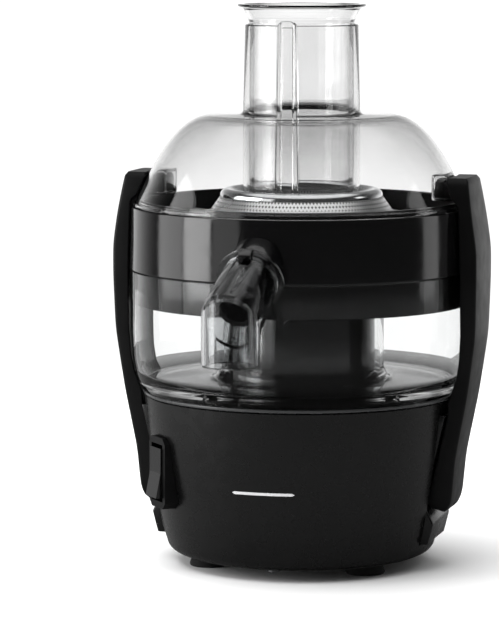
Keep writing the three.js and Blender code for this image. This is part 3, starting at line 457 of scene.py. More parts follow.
grey_trim = moulded(
    "grey_trim", (0.035, 0.036, 0.037), (0.05, 0.051, 0.052),
    rough=(0.2, 0.28), grain=(900, 0.05), sheen=0.3,
)
silver_mark = moulded(
    "silver_mark", (0.62, 0.62, 0.63), (0.72, 0.72, 0.73),
    rough=(0.25, 0.35), grain=(900, 0.1), sheen=0.5,
)
clear = clear_plastic("clear_plastic", (0.965, 0.965, 0.965), (0.98, 0.98, 0.98), 0.005, 0.03)
# painted shade: the lid is darkened in a band round the plateau level
lid_clear = clear_plastic(
    "lid_clear_plastic", (0.955, 0.955, 0.955), (0.975, 0.975, 0.975), 0.005, 0.03, index=1.33,
    painted_shade=(DOME_Z + 8 * MM, PLATEAU_Z - 6 * MM, PLATEAU_Z + 6 * MM, 0.84),
)
# painted shade: the container is darkened almost to black in a band at its foot
tub_clear = clear_plastic(
    "tub_clear_plastic", (0.955, 0.96, 0.96), (0.975, 0.98, 0.98), 0.005, 0.03, index=1.2,
    painted_shade=(TUB_Z - 3 * MM, TUB_Z + 1 * MM, TUB_Z + 9 * MM, 0.08),
)
smoke = clear_plastic("smoke_plastic", (0.64, 0.65, 0.655), (0.69, 0.70, 0.705), 0.01, 0.04, index=1.36)
bright_steel = steel("bright_steel", (0.70, 0.71, 0.72), (0.80, 0.81, 0.81), 0.10, 0.2)
plain_steel = steel("plain_steel", (0.16, 0.165, 0.17), (0.22, 0.225, 0.23), 0.34, 0.5)
mesh_steel = perforated_steel("perforated_steel", 150, 1.9 * MM)
copper = steel("copper_wire", (0.48, 0.20, 0.09), (0.66, 0.30, 0.14), 0.3, 0.45, (1, 1, 40))

SLOT_MATERIALS = {
    "gloss_black_plastic": gloss_black,
    "satin_black_plastic": satin_black,
    "matte_black_plastic": matte_black,
    "grey_trim": grey_trim,
    "clear_plastic": clear,
    "smoke_plastic": smoke,
    "stainless_steel": bright_steel,
    "bare_steel": plain_steel,
    "copper_winding": copper,
    "black_rubber": rubber,
}


def dress_cad_nodes():
    slots = {part["node"]: part["material_slot"] for part in frame["record"]["subparts"]}
    for node, obj in frame["nodes"].items():
        obj.data.materials.clear()
        obj.data.materials.append(SLOT_MATERIALS[slots[node]])


# ------------------------------------------------------------------ base
BASE_BOTTOM_R = 62.6 * MM
BASE_EDGE = 6.5 * MM
BASE_WALL = 2.6 * MM


def base_radius(z):
    share = (z - BASE_Z) / (BASE_TOP_Z - BASE_Z)
    straight = BASE_BOTTOM_R + BASE_EDGE + (BASE_TOP_R - BASE_BOTTOM_R - BASE_EDGE) * share
    return straight + 1.1 * MM * math.sin(math.pi * share)


def base_side(inset, steps):
    edge = arc(BASE_BOTTOM_R, BASE_Z + BASE_EDGE, BASE_EDGE - inset, -90, -8, 8)
    heights = [BASE_Z + (BASE_TOP_Z - BASE_Z) * (0.16 + 0.84 * i / steps) for i in range(steps + 1)]
    return edge + [(base_radius(z) - inset, z) for z in heights]


def make_base():
    outer = base_side(0, 12)
    outer[-1] = (outer[-1][0] - 0.5 * MM, outer[-1][1])
    outer.insert(-1, (base_radius(BASE_TOP_Z) - 0.05 * MM, BASE_TOP_Z - 0.5 * MM))
    shell = revolve("base_body", outer + base_side(BASE_WALL, 12)[::-1])
    half = BRACKET_HALF + GAP
    for side in (1, -1):
        xs = sorted((side * 55 * MM, side * 95 * MM))
        window = box_object("window", (xs[0], AXIS_Y - half, BRACKET_LOW_Z - GAP),
                            (xs[1], AXIS_Y + half, BRACKET_TOP_Z + GAP))
        combine(shell, window, "DIFFERENCE")
    combine(shell, switch_cutter(), "DIFFERENCE")
    finished(shell, base_black, "base", "gloss_black_plastic", "base_shell")


SWITCH_Z = joints["power_rocker_press"]["pos_m"][2]
ROCKER_AXIS = Vector(joints["power_rocker_press"]["axis"])
SWITCH_OUT = Vector((ROCKER_AXIS.y, -ROCKER_AXIS.x, 0))


def switch_cutter():
    """The opening that the switch housing sits in, a little larger all round."""
    half_width, half_height = 10.3 * MM, 18.3 * MM
    chamfer = 3.3 * MM
    outline = [
        (-half_width, -half_height + chamfer), (-half_width + chamfer, -half_height),
        (half_width - chamfer, -half_height), (half_width, -half_height + chamfer),
        (half_width, half_height - chamfer), (half_width - chamfer, half_height),
        (-half_width + chamfer, half_height), (-half_width, half_height - chamfer),
    ]
    axis = Vector((0, AXIS_Y, 0))
    rings = []
    for distance in (60 * MM, 90 * MM):
        rings.append([axis + SWITCH_OUT * distance + ROCKER_AXIS * across + Vector((0, 0, SWITCH_Z + up))
                      for across, up in outline])
    return loft("switch_cutter", rings)


def make_trim():
    inner = BASE_TOP_R - 6 * MM
    outer = reach("trim_ring")
    profile = softened([
        (inner, TRIM_Z), (outer, TRIM_Z), (outer, TRIM_TOP_Z), (inner, TRIM_TOP_Z),
    ], 0.5 * MM)
    finished(revolve("trim_band", profile), grey_trim, "base", "grey_trim", "trim_ring")


def make_housing():
    rim = reach("upper_housing")
    low, high = levels("upper_housing")
    wall = 2.4 * MM
    deck = softened([(TOWER_R - wall, low), (rim, low), (rim, high), (TOWER_R - wall, high)], 0.5 * MM)
    finished(revolve("deck_plate", deck), gloss_black, "base", "satin_black_plastic", "upper_housing")
    step = BASE_TOP_R - 4.4 * MM
    rise = softened([
        (COLUMN_R + 2 * MM, TRIM_Z), (step - 2 * MM, TRIM_Z), (step - 2 * MM, TUB_Z, 0.2 * MM),
        (step, TUB_Z), (step, FLOOR_Z - 3.1 * MM), (COLUMN_R + 2 * MM, FLOOR_Z - 3.1 * MM),
    ], 0.5 * MM)
    finished(revolve("deck_rise", rise), gloss_black, "base", "gloss_black_plastic")

    foot, top = levels("drive_tower")
    bore = 12.35 * MM
    tower = softened([
        (TOWER_R, foot), (TOWER_R, top, 3 * MM), (bore, top), (bore, top - wall),
        (TOWER_R - wall, top - wall), (TOWER_R - wall, foot),
    ], 0.6 * MM)
    finished(revolve("tower_tube", tower), tower_black, "base", "satin_black_plastic", "drive_tower")


def make_feet():
    for node in [name for name in frame["nodes"] if name.startswith("foot_")]:
        low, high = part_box(node)
        centre = (low + high) / 2
        radius = (high.x - low.x) / 2
        outline = softened([(0.0, low.z, 0), (radius - 0.4 * MM, low.z), (radius, low.z + 1 * MM),
                            (radius - 1.4 * MM, high.z), (0.0, high.z, 0)], 0.6 * MM)
        pad = revolve(node + "_pad", outline, 48, open_ends=True)
        pad.data.transform(Matrix.Translation((centre.x, centre.y - AXIS_Y, 0)))
        finished(pad, rubber, "base", "black_rubber", node)


def make_mark():
    """A plain silver bar let into the front of the base."""
    half, height, z = 16 * MM, 0.7 * MM, 46 * MM
    rings = []
    for step in range(33):
        across = half * (step / 16 - 1)
        end = max(0.0, abs(across) - half + height)
        up = math.sqrt(max(height ** 2 - end ** 2, (0.1 * MM) ** 2))
        ring = []
        for level, depth in ((-up, -0.4 * MM), (-up, 0.06 * MM), (up, 0.06 * MM), (up, -0.4 * MM)):
            radius = base_radius(z + level) + depth
            angle = across / radius
            ring.append((radius * math.sin(angle), AXIS_Y - radius * math.cos(angle), z + level))
        rings.append(ring)
    finished(loft("front_bar", rings), silver_mark, "base", "grey_trim")


# ------------------------------------------------------------------ clamps
def along(points, z):
    """The value at z on a line through (z, value) points."""
    for (z0, v0), (z1, v1) in zip(points, points[1:]):
        if z <= z1:
            return v0 + (v1 - v0) * max(0.0, (z - z0) / (z1 - z0))
    return points[-1][1]


def inner_x(z):
    """The clamp's face towards the body, from its foot up to the container's straight wall."""
    return along([
        (PIVOT_Z + 4 * MM, PIVOT_X - 5.1 * MM), (BASE_TOP_Z, BASE_TOP_R + 1.6 * MM),
        (TUB_Z + 9 * MM, TUB_R - 1.6 * MM), (TUB_Z + 17 * MM, TUB_R - 0.2 * MM),
        (TUB_Z + 31 * MM, WALL_X - 0.1 * MM),
    ], z)


def dome_x(z):
    return along([(height, radius) for radius, height in dome_curve(0, 40)], z)


def clamp_faces(z):
    """(inner x, outer x, half width) of a clamp at a height."""
    outer_line = [
        (CLAMP_LOW_Z, PIVOT_X + 3.4 * MM), (PIVOT_Z - 4.6 * MM, PIVOT_X + 5.9 * MM),
        (PIVOT_Z + 20 * MM, inner_x(PIVOT_Z + 20 * MM) + 9.4 * MM),
        (TUB_Z, inner_x(TUB_Z) + 7.9 * MM), (TUB_Z + 30 * MM, CLAMP_OUT_X - 0.7 * MM),
        (TUB_TOP_Z - 4 * MM, CLAMP_OUT_X), (TUB_TOP_Z + 12 * MM, CLAMP_OUT_X),
        (RING_TOP_Z - 1 * MM, CLAMP_OUT_X - 2.8 * MM), (CLAMP_TOP_Z, CLAMP_OUT_X - 5.6 * MM),
    ]
    half_line = [
        (CLAMP_LOW_Z, 12.4 * MM), (PIVOT_Z - 4 * MM, 14.6 * MM), (TUB_Z + 10 * MM, CLAMP_HALF - 2.6 * MM),
        (TUB_TOP_Z - 4 * MM, CLAMP_HALF), (RING_TOP_Z - 4 * MM, CLAMP_HALF),
        (CLAMP_TOP_Z - 5 * MM, 17.1 * MM), (CLAMP_TOP_Z, 15 * MM),
    ]
    if z < PIVOT_Z + 4 * MM:
        inner = PIVOT_X - math.sqrt(max((7 * MM) ** 2 - (z - PIVOT_Z) ** 2, 0))
    elif z < TUB_Z + 31 * MM:
        inner = inner_x(z)
    else:
        inner = along([
            (TUB_Z + 31 * MM, WALL_X - 0.1 * MM), (TUB_TOP_Z, WALL_X),
            (RING_TOP_Z - 12 * MM, WALL_X - 0.6 * MM), (DOME_Z + 0.7 * MM, RING_TOP_R + 0.6 * MM),
            (DOME_Z + 3 * MM, dome_x(DOME_Z + 3 * MM) + 1 * MM),
            (DOME_Z + 9 * MM, dome_x(DOME_Z + 9 * MM) + 1 * MM),
            (CLAMP_TOP_Z, dome_x(CLAMP_TOP_Z) + 1.3 * MM),
        ], z)
    return inner, along(outer_line, z), along(half_line, z)


def eased(values, passes):
    for _ in range(passes):
        values = [values[0]] + [
            (a + 2 * b + c) / 4 for a, b, c in zip(values, values[1:], values[2:])
        ] + [values[-1]]
    return values


def clamp_section(inner, outer, half, inset, wrap):
    """A clamp's level section: a curved inner face that wraps the body, and rounded corners."""
    face = []
    for step in range(13):
        y = (half - inset) * (1 - step / 6)
        curved = math.sqrt(inner ** 2 - y ** 2)
        face.append((inner + (curved - inner) * wrap + inset, y, 0.0))
    face[0] = (*face[0][:2], 0.8 * MM)
    face[-1] = (*face[-1][:2], 0.8 * MM)
    return softened(face + [
        (outer - 0.5 * MM - inset, -half + inset, 1.8 * MM), (outer - inset, -0.5 * half, 20 * MM),
        (outer - inset, 0.5 * half, 20 * MM), (outer - 0.5 * MM - inset, half - inset, 1.8 * MM),
    ], 1.2 * MM, 5)


def make_clamps():
    count = 90
    heights = [CLAMP_LOW_Z + (CLAMP_TOP_Z - CLAMP_LOW_Z) * i / count for i in range(count + 1)]
    faces = [clamp_faces(z) for z in heights]
    outers = eased([face[1] for face in faces], 8)
    halves = eased([face[2] for face in faces], 8)
    rings = []
    for z, (inner, _, _), outer, half in zip(heights, faces, outers, halves):
        end = min(z - CLAMP_LOW_Z, CLAMP_TOP_Z - z)
        inset = 1.0 * MM * (1 - math.sqrt(max(0.0, 1 - (1 - min(end / (1.0 * MM), 1)) ** 2)))
        wrap = along([(BASE_TOP_Z - 8 * MM, 0.0), (BASE_TOP_Z, 0.9)], z)
        rings.append([(x, AXIS_Y + y, z) for x, y in clamp_section(inner, outer, half, inset, wrap)])
    arm = loft("clamp_right_shell", rings)
    slot = box_object("slot", (PIVOT_X - 15 * MM, AXIS_Y - 4.35 * MM, PIVOT_Z - 20 * MM),
                      (PIVOT_X + 4.95 * MM, AXIS_Y + 4.35 * MM, PIVOT_Z + 12 * MM))
    combine(arm, slot, "DIFFERENCE")
    tip = dome_x(HOOK_Z) - HOOK_REACH
    back = dome_x(HOOK_Z + 5 * MM) + 4 * MM
    top = HOOK_Z + HOOK_HEIGHT
    outline = softened([
        (tip, HOOK_Z, 1 * MM), (back, HOOK_Z, 0), (back, top, 0), (tip, top, 5 * MM),
    ], 1 * MM, 6)
    hook = bevelled(prism("hook", outline, HOOK_HALF), 0.8 * MM, 3, 50)
    combine(arm, hook, "UNION")
    other = mirror_copy(arm, "clamp_left_shell")
    finished(arm, satin_black, "clamp_right", "satin_black_plastic", "clamp_arm_right", angle=40)
    finished(other, satin_black, "clamp_left", "satin_black_plastic", "clamp_arm_left", angle=40)


def make_brackets():
    face = [(66 * MM, BRACKET_LOW_Z), (base_radius(BRACKET_LOW_Z) + 0.6 * MM, BRACKET_LOW_Z),
            (base_radius(PIVOT_Z - 12 * MM) + 1.6 * MM, PIVOT_Z - 12 * MM)]
    face += arc(PIVOT_X, PIVOT_Z, 7.6 * MM, 222, 166, 10)
    steps = [PIVOT_Z + 4 * MM + s / 8 * (BRACKET_TOP_Z - PIVOT_Z - 4 * MM) for s in range(1, 9)]
    face += [(inner_x(z) - 0.6 * MM, z) for z in steps] + [(66 * MM, BRACKET_TOP_Z)]
    bracket = bevelled(prism("side_bracket_right", face, BRACKET_HALF), 0.9 * MM, angle=40)
    lug = arc(PIVOT_X, PIVOT_Z, 4 * MM, -100, 80, 18)
    lug += [(PIVOT_X - 8 * MM, PIVOT_Z + 7 * MM), (PIVOT_X - 9.6 * MM, PIVOT_Z - 5 * MM)]
    combine(bracket, bevelled(prism("lug", lug, 4 * MM), 0.3 * MM, 2), "UNION")
    other = mirror_copy(bracket, "side_bracket_left")
    finished(bracket, base_black, "base", "gloss_black_plastic", "clamp_bracket_right", angle=40)
    finished(other, base_black, "base", "gloss_black_plastic", "clamp_bracket_left", angle=40)


# ------------------------------------------------------------------ container, collector and spout
SPOUT_R = 14.1 * MM
SPOUT_WALL = 1.9 * MM
NOZZLE_R = SPOUT_R - SPOUT_WALL - GAP
MOUTH_Y = SPOUT_FRONT_Y + SPOUT_R
ELBOW = SPOUT_ROOT + SPOUT_AXIS * ((MOUTH_Y - SPOUT_ROOT.y) / SPOUT_AXIS.y)
NOZZLE_LENGTH = (ELBOW - SPOUT_ROOT).length - SPOUT_R - 1 * MM


def on_spout_axis(obj):
    """Moves a piece made round the drive axis, from z = 0 up, onto the spout's axis."""
    turn = Vector((0, 0, 1)).rotation_difference(SPOUT_AXIS).to_matrix().to_4x4()
    obj.data.transform(Matrix.Translation(SPOUT_ROOT) @ turn @ Matrix.Translation((0, -AXIS_Y, 0)))
    return obj


def spout_tube(name, radius, start, end, soft=0.5 * MM, segments=96):
    outline = softened([(0.0, start, 0), (radius, start), (radius, end), (0.0, end, 0)], soft)
    return on_spout_axis(revolve(name, outline, segments, open_ends=True))


def make_container():
    wall = 2.2 * MM
    r = TUB_R
    outline = softened([
        (BASE_TOP_R + 0.6 * MM, TUB_Z, 0.5 * MM), (r - 4.2 * MM, TUB_Z + 4 * MM, 3 * MM),
        (r - 2.6 * MM, TUB_Z + 8.8 * MM, 6 * MM), (r - 1.2 * MM, TUB_Z + 17 * MM, 10 * MM),
        (r - 0.3 * MM, TUB_Z + 31 * MM, 14 * MM), (r, TUB_TOP_Z, 0.5 * MM),
        (r - wall, TUB_TOP_Z, 0.5 * MM), (r - 0.3 * MM - wall, TUB_Z + 31 * MM, 14 * MM),
        (r - 1.2 * MM - wall, TUB_Z + 17.4 * MM, 10 * MM), (r - 2.7 * MM - wall, TUB_Z + 9.6 * MM, 6 * MM),
        (r - 6.6 * MM - wall, FLOOR_Z, 5 * MM), (COLUMN_R + 2.4 * MM, FLOOR_Z, 5 * MM),
        (COLUMN_R, FLOOR_Z + 6 * MM, 6 * MM), (COLUMN_R, TUB_TOP_Z - 5 * MM),
        (COLUMN_R - wall, TUB_TOP_Z - 5 * MM),
        (COLUMN_R - wall + 0.6 * MM, FLOOR_Z + 1 * MM, 3 * MM), (COLUMN_R, FLOOR_Z - 2.6 * MM, 3 * MM),
        (BASE_TOP_R - 3.4 * MM, FLOOR_Z - 2.6 * MM, 0.8 * MM), (BASE_TOP_R - 4 * MM, TUB_Z, 0.5 * MM),
    ], 0.6 * MM, 6)
    tub = revolve("pulp_tub", outline, 160)
    combine(tub, spout_tube("notch", 14.8 * MM, -30 * MM, 6 * MM), "DIFFERENCE")
    finished(tub, tub_clear, "base", "clear_plastic", "pulp_container")


def make_collector():
    lip_outer = RING_TOP_R - 4.5 * MM
    lip_inner = lip_outer - 2.1 * MM
    skirt = TUB_R - 2.8 * MM
    trough = RING_Z + 0.4 * MM
    weir = 69.4 * MM
    outline = softened([
        (TUB_R, RING_Z, 0.5 * MM), (RING_TOP_R, RING_TOP_Z, 0.6 * MM), (lip_outer, RING_TOP_Z),
        (lip_outer, LIP_TOP_Z), (lip_inner, LIP_TOP_Z), (lip_inner + 1.2 * MM, trough + 5 * MM, 3 * MM),
        (lip_inner - 1.4 * MM, trough + 1 * MM, 3 * MM), (weir + 5 * MM, trough),
        (weir + 2 * MM, trough + 2 * MM),
        (weir + 2 * MM, trough + 11 * MM), (weir, trough + 11 * MM), (weir, trough - 2.4 * MM),
        (skirt - 2.2 * MM, trough - 2.4 * MM), (skirt - 2.2 * MM, COLLECTOR_LOW_Z),
        (skirt, COLLECTOR_LOW_Z), (skirt, RING_Z, 0),
    ], 0.7 * MM)
    bowl = revolve("collector_bowl", outline, 160)
    combine(bowl, spout_tube("boss", 13.4 * MM, -17 * MM, -GAP, 0.8 * MM), "UNION")
    combine(bowl, spout_tube("nozzle", NOZZLE_R, -10 * MM, NOZZLE_LENGTH, 0.6 * MM), "UNION")
    bore = spout_tube("bore", NOZZLE_R - 2.9 * MM, -26 * MM, NOZZLE_LENGTH + 5 * MM)
    combine(bowl, bore, "DIFFERENCE")
    finished(bowl, gloss_black, "base", "gloss_black_plastic", "juice_collector")
    bowl.data.materials.append(satin_black)
    for face in bowl.data.polygons:
        outward = Vector((face.center.x, face.center.y - AXIS_Y, 0)).normalized()
        if face.center.z > RING_Z and face.normal.dot(outward) < -0.1:
            face.material_index = 1


def elbow_rings(radius, back, down):
    """Rings of the spout: round at its root, cut at 45 degrees over the mouth, level at the mouth."""
    up = Vector((0, SPOUT_AXIS.z, -SPOUT_AXIS.y))
    steps = 72
    root, bend, mouth = [], [], []
    for i in range(steps):
        angle = 2 * math.pi * i / steps
        across, lift = radius * math.sin(angle), radius * math.cos(angle)
        root.append(SPOUT_ROOT - SPOUT_AXIS * back + Vector((across, 0, 0)) + up * lift)
        bend.append(ELBOW + Vector((across, -lift, lift)))
        mouth.append(Vector((across, ELBOW.y - lift, SPOUT_MOUTH_Z - down)))
    return root, bend, mouth


def between(first, second, share):
    return [a.lerp(b, share) for a, b in zip(first, second)]


def make_spout():
    root, bend, mouth = elbow_rings(SPOUT_R, 0, 0)
    inner_root, inner_bend, inner_mouth = elbow_rings(SPOUT_R - SPOUT_WALL, 0, 0)
    lip_out = [p + Vector((0, 0, 0.5 * MM)) for p in mouth]
    lip_in = [p + Vector((0, 0, 0.5 * MM)) for p in inner_mouth]
    rings = [
        root, between(root, bend, 0.5), between(root, bend, 0.965), between(bend, lip_out, 0.04), lip_out,
        between(mouth, inner_mouth, 0.25), between(mouth, inner_mouth, 0.75),
        lip_in, between(inner_bend, lip_in, 0.03), between(inner_root, inner_bend, 0.97),
        between(inner_root, inner_bend, 0.5), inner_root,
    ]
    body = loft("spout_elbow", rings, cap=False)
    collar_profile = softened([
        (SPOUT_R - 1 * MM, 0.0), (16.6 * MM, 0.0), (16.6 * MM, 2.6 * MM), (SPOUT_R - 1 * MM, 2.6 * MM),
    ], 0.5 * MM)
    collar = on_spout_axis(revolve("collar", collar_profile, 96))
    combine(body, collar, "UNION")
    finished(body, smoke, "spout", "smoke_plastic", "spout", angle=24)
    tab = box_object("spout_tab", (-3.6 * MM, AXIS_Y - 17.6 * MM, 0.4 * MM),
                     (3.6 * MM, AXIS_Y - 14.2 * MM, 8 * MM))
    finished(upright_on_spout(bevelled(tab, 1 * MM)), gloss_black, "spout", "smoke_plastic")


def upright_on_spout(obj):
    """Like on_spout_axis, for a piece at the drive axis's -Y side, which comes out on top."""
    up = Vector((0, SPOUT_AXIS.z, -SPOUT_AXIS.y))
    side = up.cross(SPOUT_AXIS)
    turn = Matrix((
        (side.x, -up.x, SPOUT_AXIS.x), (side.y, -up.y, SPOUT_AXIS.y), (side.z, -up.z, SPOUT_AXIS.z),
    )).to_4x4()
    obj.data.transform(Matrix.Translation(SPOUT_ROOT) @ turn @ Matrix.Translation((0, -AXIS_Y, 0)))
    return obj


# ------------------------------------------------------------------ filter basket
def make_filter():
    lean = (MESH_R - RIM_R) / (MESH_TOP_Z - MESH_Z)
    skin = 1.0 * MM * math.hypot(1, lean)
    top = MESH_TOP_Z
    steps = 10
    outer = [(MESH_R + (RIM_R - MESH_R) * i / steps, MESH_Z + (top - MESH_Z) * i / steps)
             for i in range(steps + 1)]
    inner = [(radius - skin, z) for radius, z in outer[::-1]]
    cone = revolve("mesh_cone", outer + inner, 200)
    finished(cone, mesh_steel, "rotor", "stainless_steel", "filter_mesh")

    mouth = 33.8 * MM
    crown = (RIM_R - mouth) / 2
    rise = RIM_TOP_Z - RIM_Z
    arch = [(mouth + crown + crown * c, RIM_Z + rise * s) for c, s in arc(0, 0, 1, 0, 180, 16)]
    under = [(mouth + crown + (crown - 1 * MM) * c, RIM_Z + (rise - 1.2 * MM) * s)
             for c, s in arc(0, 0, 1, 180, 0, 12)]
    rim = revolve("basket_rim", arch + under, 160)
    finished(rim, bright_steel, "rotor", "stainless_steel", "filter_rim")


def make_grater():
    low, high = levels("grater_disc")
    outer = reach("grater_disc")
    bore = 14.35 * MM
    profile = softened([(bore, low), (outer, low), (outer, high), (bore, high)], 0.3 * MM, 2)
    plate = revolve("grater_plate", profile, 96)
    finished(plate, bright_steel, "rotor", "stainless_steel", "grater_disc")
    vertices, faces = [], []
    arms, teeth = 16, 9
    for arm in range(arms):
        for k in range(teeth):
            radius = (18 + 3 * k) * MM
            angle = 2 * math.pi * arm / arms + 0.05 * k
            centre = Vector((radius * math.cos(angle), AXIS_Y + radius * math.sin(angle), high - 0.1 * MM))
            out = Vector((math.cos(angle), math.sin(angle), 0))
            around = Vector((-out.y, out.x, 0))
            base = len(vertices)
            vertices += [centre - around * 1 * MM, centre + out * 0.7 * MM, centre + around * 0.5 * MM,
                         centre - out * 0.7 * MM, centre + around * 0.6 * MM + Vector((0, 0, 1.3 * MM))]
            faces += [(base, base + 1, base + 4), (base + 1, base + 2, base + 4),
                      (base + 2, base + 3, base + 4), (base + 3, base, base + 4),
                      (base + 3, base + 2, base + 1, base)]
    finished(mesh_object("grater_teeth", vertices, faces), bright_steel, "rotor", "stainless_steel")


# ------------------------------------------------------------------ lid and pusher
LID_WALL = 1.9 * MM
POCKET_WALL = 0.8 * MM
TUBE_R = 29.8 * MM
TUBE_WALL = 1.5 * MM
PLATEAU_R = 46 * MM


def dome_curve(inset, steps):
    foot = Vector((DOME_R - inset, DOME_Z + 0.4 * MM))
    crown = Vector((PLATEAU_R, PLATEAU_Z - inset))
    width, rise = foot.x - crown.x, crown.y - foot.y
    first = Vector((foot.x - 0.12 * width, foot.y + 0.22 * rise))
    second = Vector((crown.x + 0.52 * width, crown.y))
    points = []
    for i in range(steps + 1):
        t = i / steps
        lower = foot * (1 - t) ** 3 + first * 3 * t * (1 - t) ** 2
        point = lower + second * 3 * t * t * (1 - t) + crown * t ** 3
        points.append((point.x, point.y))
    return points


def hook_pocket(name, side, wall):
    """A clear space round the hook, larger than it all round, by wall more again."""
    tip = dome_x(HOOK_Z) - HOOK_REACH - 0.6 * MM - wall
    half = 9.1 * MM + wall
    xs = sorted((side * tip, side * 120 * MM))
    pocket = box_object(name, (xs[0], AXIS_Y - half, HOOK_Z - 0.6 * MM - wall),
                        (xs[1], AXIS_Y + half, HOOK_Z + HOOK_HEIGHT + 0.6 * MM + wall))
    return bevelled(pocket, 1.2 * MM)


def make_lid():
    outer = dome_curve(0, 22)
    inner = dome_curve(LID_WALL, 22)[::-1]
    tube_top = TUBE_R - 1 * MM
    bore = TUBE_R - TUBE_WALL
    rim = [(LID_R - 0.4 * MM, LID_Z), (LID_R, LID_Z + 0.4 * MM), (LID_R, DOME_Z - 0.4 * MM),
           (LID_R - 0.4 * MM, DOME_Z), (DOME_R + 0.4 * MM, DOME_Z)]
    fillet = arc(TUBE_R + 2.4 * MM, PLATEAU_Z + 2.4 * MM, 2.4 * MM, 270, 180, 6)
    lip = arc(tube_top - TUBE_WALL / 2, TUBE_TOP_Z - TUBE_WALL / 2, TUBE_WALL / 2, 0, 180, 8)
    tube = fillet + lip + [
        (bore, PLATEAU_Z), (bore, TUBE_BOTTOM_Z + 0.5 * MM), (bore + 0.5 * MM, TUBE_BOTTOM_Z),
        (TUBE_R - 0.5 * MM, TUBE_BOTTOM_Z), (TUBE_R, TUBE_BOTTOM_Z + 0.5 * MM),
        (TUBE_R, PLATEAU_Z - LID_WALL),
    ]
    cover = revolve("dome_lid", rim + outer + tube + inner + [(DOME_R - LID_WALL, LID_Z)], 160)
    filled_profile = [(0.0, LID_Z)] + rim + outer + [(0.0, PLATEAU_Z)]
    for side in (1, -1):
        wall = hook_pocket("pocket_wall", side, POCKET_WALL)
        filled = revolve("filled_dome", filled_profile, 160, open_ends=True)
        combine(wall, filled, "INTERSECT")
        combine(cover, wall, "UNION")
        combine(cover, hook_pocket("pocket", side, 0), "DIFFERENCE")
    keyway = [(-6.6 * MM, TUBE_BOTTOM_Z + 3 * MM), (6.6 * MM, TUBE_BOTTOM_Z + 3 * MM),
              (4.6 * MM, TUBE_TOP_Z + 0.4 * MM), (2.6 * MM, KEYWAY_TOP_Z), (-2.6 * MM, KEYWAY_TOP_Z),
              (-4.6 * MM, TUBE_TOP_Z + 0.4 * MM)]
    rib = bevelled(prism("rib", softened(keyway, 1.5 * MM), 2.6 * MM), 0.6 * MM, 3, 50)
    rib.data.transform(Matrix.Translation((0, -TUBE_R + 0.9 * MM, 0)))
    combine(cover, rib, "UNION")
    channel = box_object("channel", (-3.4 * MM, AXIS_Y - TUBE_R - 0.3 * MM, TUBE_BOTTOM_Z - 5 * MM),
                         (3.4 * MM, AXIS_Y - 15 * MM, TUBE_TOP_Z + 5 * MM))
    combine(cover, channel, "DIFFERENCE")
    finished(cover, lid_clear, "base", "clear_plastic", "lid")


def make_pusher():
    outer = TUBE_R - TUBE_WALL - 1.6 * MM
    inner = outer - 1.9 * MM
    top = PUSHER_TOP_Z
    low = PUSHER_BOTTOM_Z
    profile = softened([
        (0.0, low, 0), (outer - 0.6 * MM, low, 1.2 * MM), (outer, low + 40 * MM, 0),
        (outer, TUBE_TOP_Z + 1 * MM, 3 * MM), (outer + 1.2 * MM, top - 6 * MM, 3 * MM),
        (outer + 3.2 * MM, top - 2 * MM, 2 * MM), (FLANGE_R, top - 1.1 * MM, 0.5 * MM),
        (FLANGE_R, top, 0.5 * MM), (outer + 3 * MM, top, 1 * MM),
        (outer + 0.6 * MM, top - 2 * MM, 2 * MM), (inner + 0.4 * MM, top - 7 * MM, 3 * MM),
        (inner, TUBE_TOP_Z, 0), (inner - 0.6 * MM, low + 2.2 * MM, 2 * MM), (0.0, low + 2.2 * MM, 0),
    ], 0.6 * MM, 6)
    cup = revolve("pusher_cup", profile, 144, open_ends=True)
    key = box_object("key", (-2.8 * MM, AXIS_Y - TUBE_R + 0.5 * MM, low + 2 * MM),
                     (2.8 * MM, AXIS_Y - inner - 0.6 * MM, TUBE_TOP_Z - 1 * MM))
    combine(cup, bevelled(key, 0.5 * MM), "UNION")
    finished(cup, clear, "pusher", "clear_plastic", "pusher")


# ------------------------------------------------------------------ studio
VIEW_AZIMUTH = math.radians(14.5)
CAMERA_DISTANCE = 1.7258
CAMERA_HEIGHT = 0.3299
CAMERA_PITCH = math.radians(6.72)
CAMERA_YAW = math.radians(0.88)
LENS = 193.8
SOFTBOX_DISTANCE = 1.3
SKY_POWER = 3.3
SKY_SPREAD = math.radians(56)
AIM_HEIGHT = 0.15
SOFTBOX_HEIGHT = 0.30
FIELD_DARK = 0.07
FIELD_BRIGHT = 1.1
BACKDROP = 1.1
CEILING = 1.2
FLOOR_RADIUS = 0.75
FLOOR_REFLECTED = (0.2, 0.2, 0.2)


def turned(vector):
    return Matrix.Rotation(VIEW_AZIMUTH, 3, "Z") @ Vector(vector)


def make_camera():
    data = bpy.data.cameras.new("photo_camera")
    data.lens = LENS
    data.sensor_width = 36
    data.clip_end = 100
    camera = bpy.data.objects.new("photo_camera", data)
    bpy.context.scene.collection.objects.link(camera)
    axis = Vector((0, AXIS_Y, 0))
    camera.location = axis + turned((0, -CAMERA_DISTANCE, CAMERA_HEIGHT))
    aim = turned((-math.sin(CAMERA_YAW) * math.cos(CAMERA_PITCH),
                  math.cos(CAMERA_YAW) * math.cos(CAMERA_PITCH), -math.sin(CAMERA_PITCH)))
    camera.rotation_euler = aim.to_track_quat("-Z", "Y").to_euler()
    bpy.context.scene.camera = camera


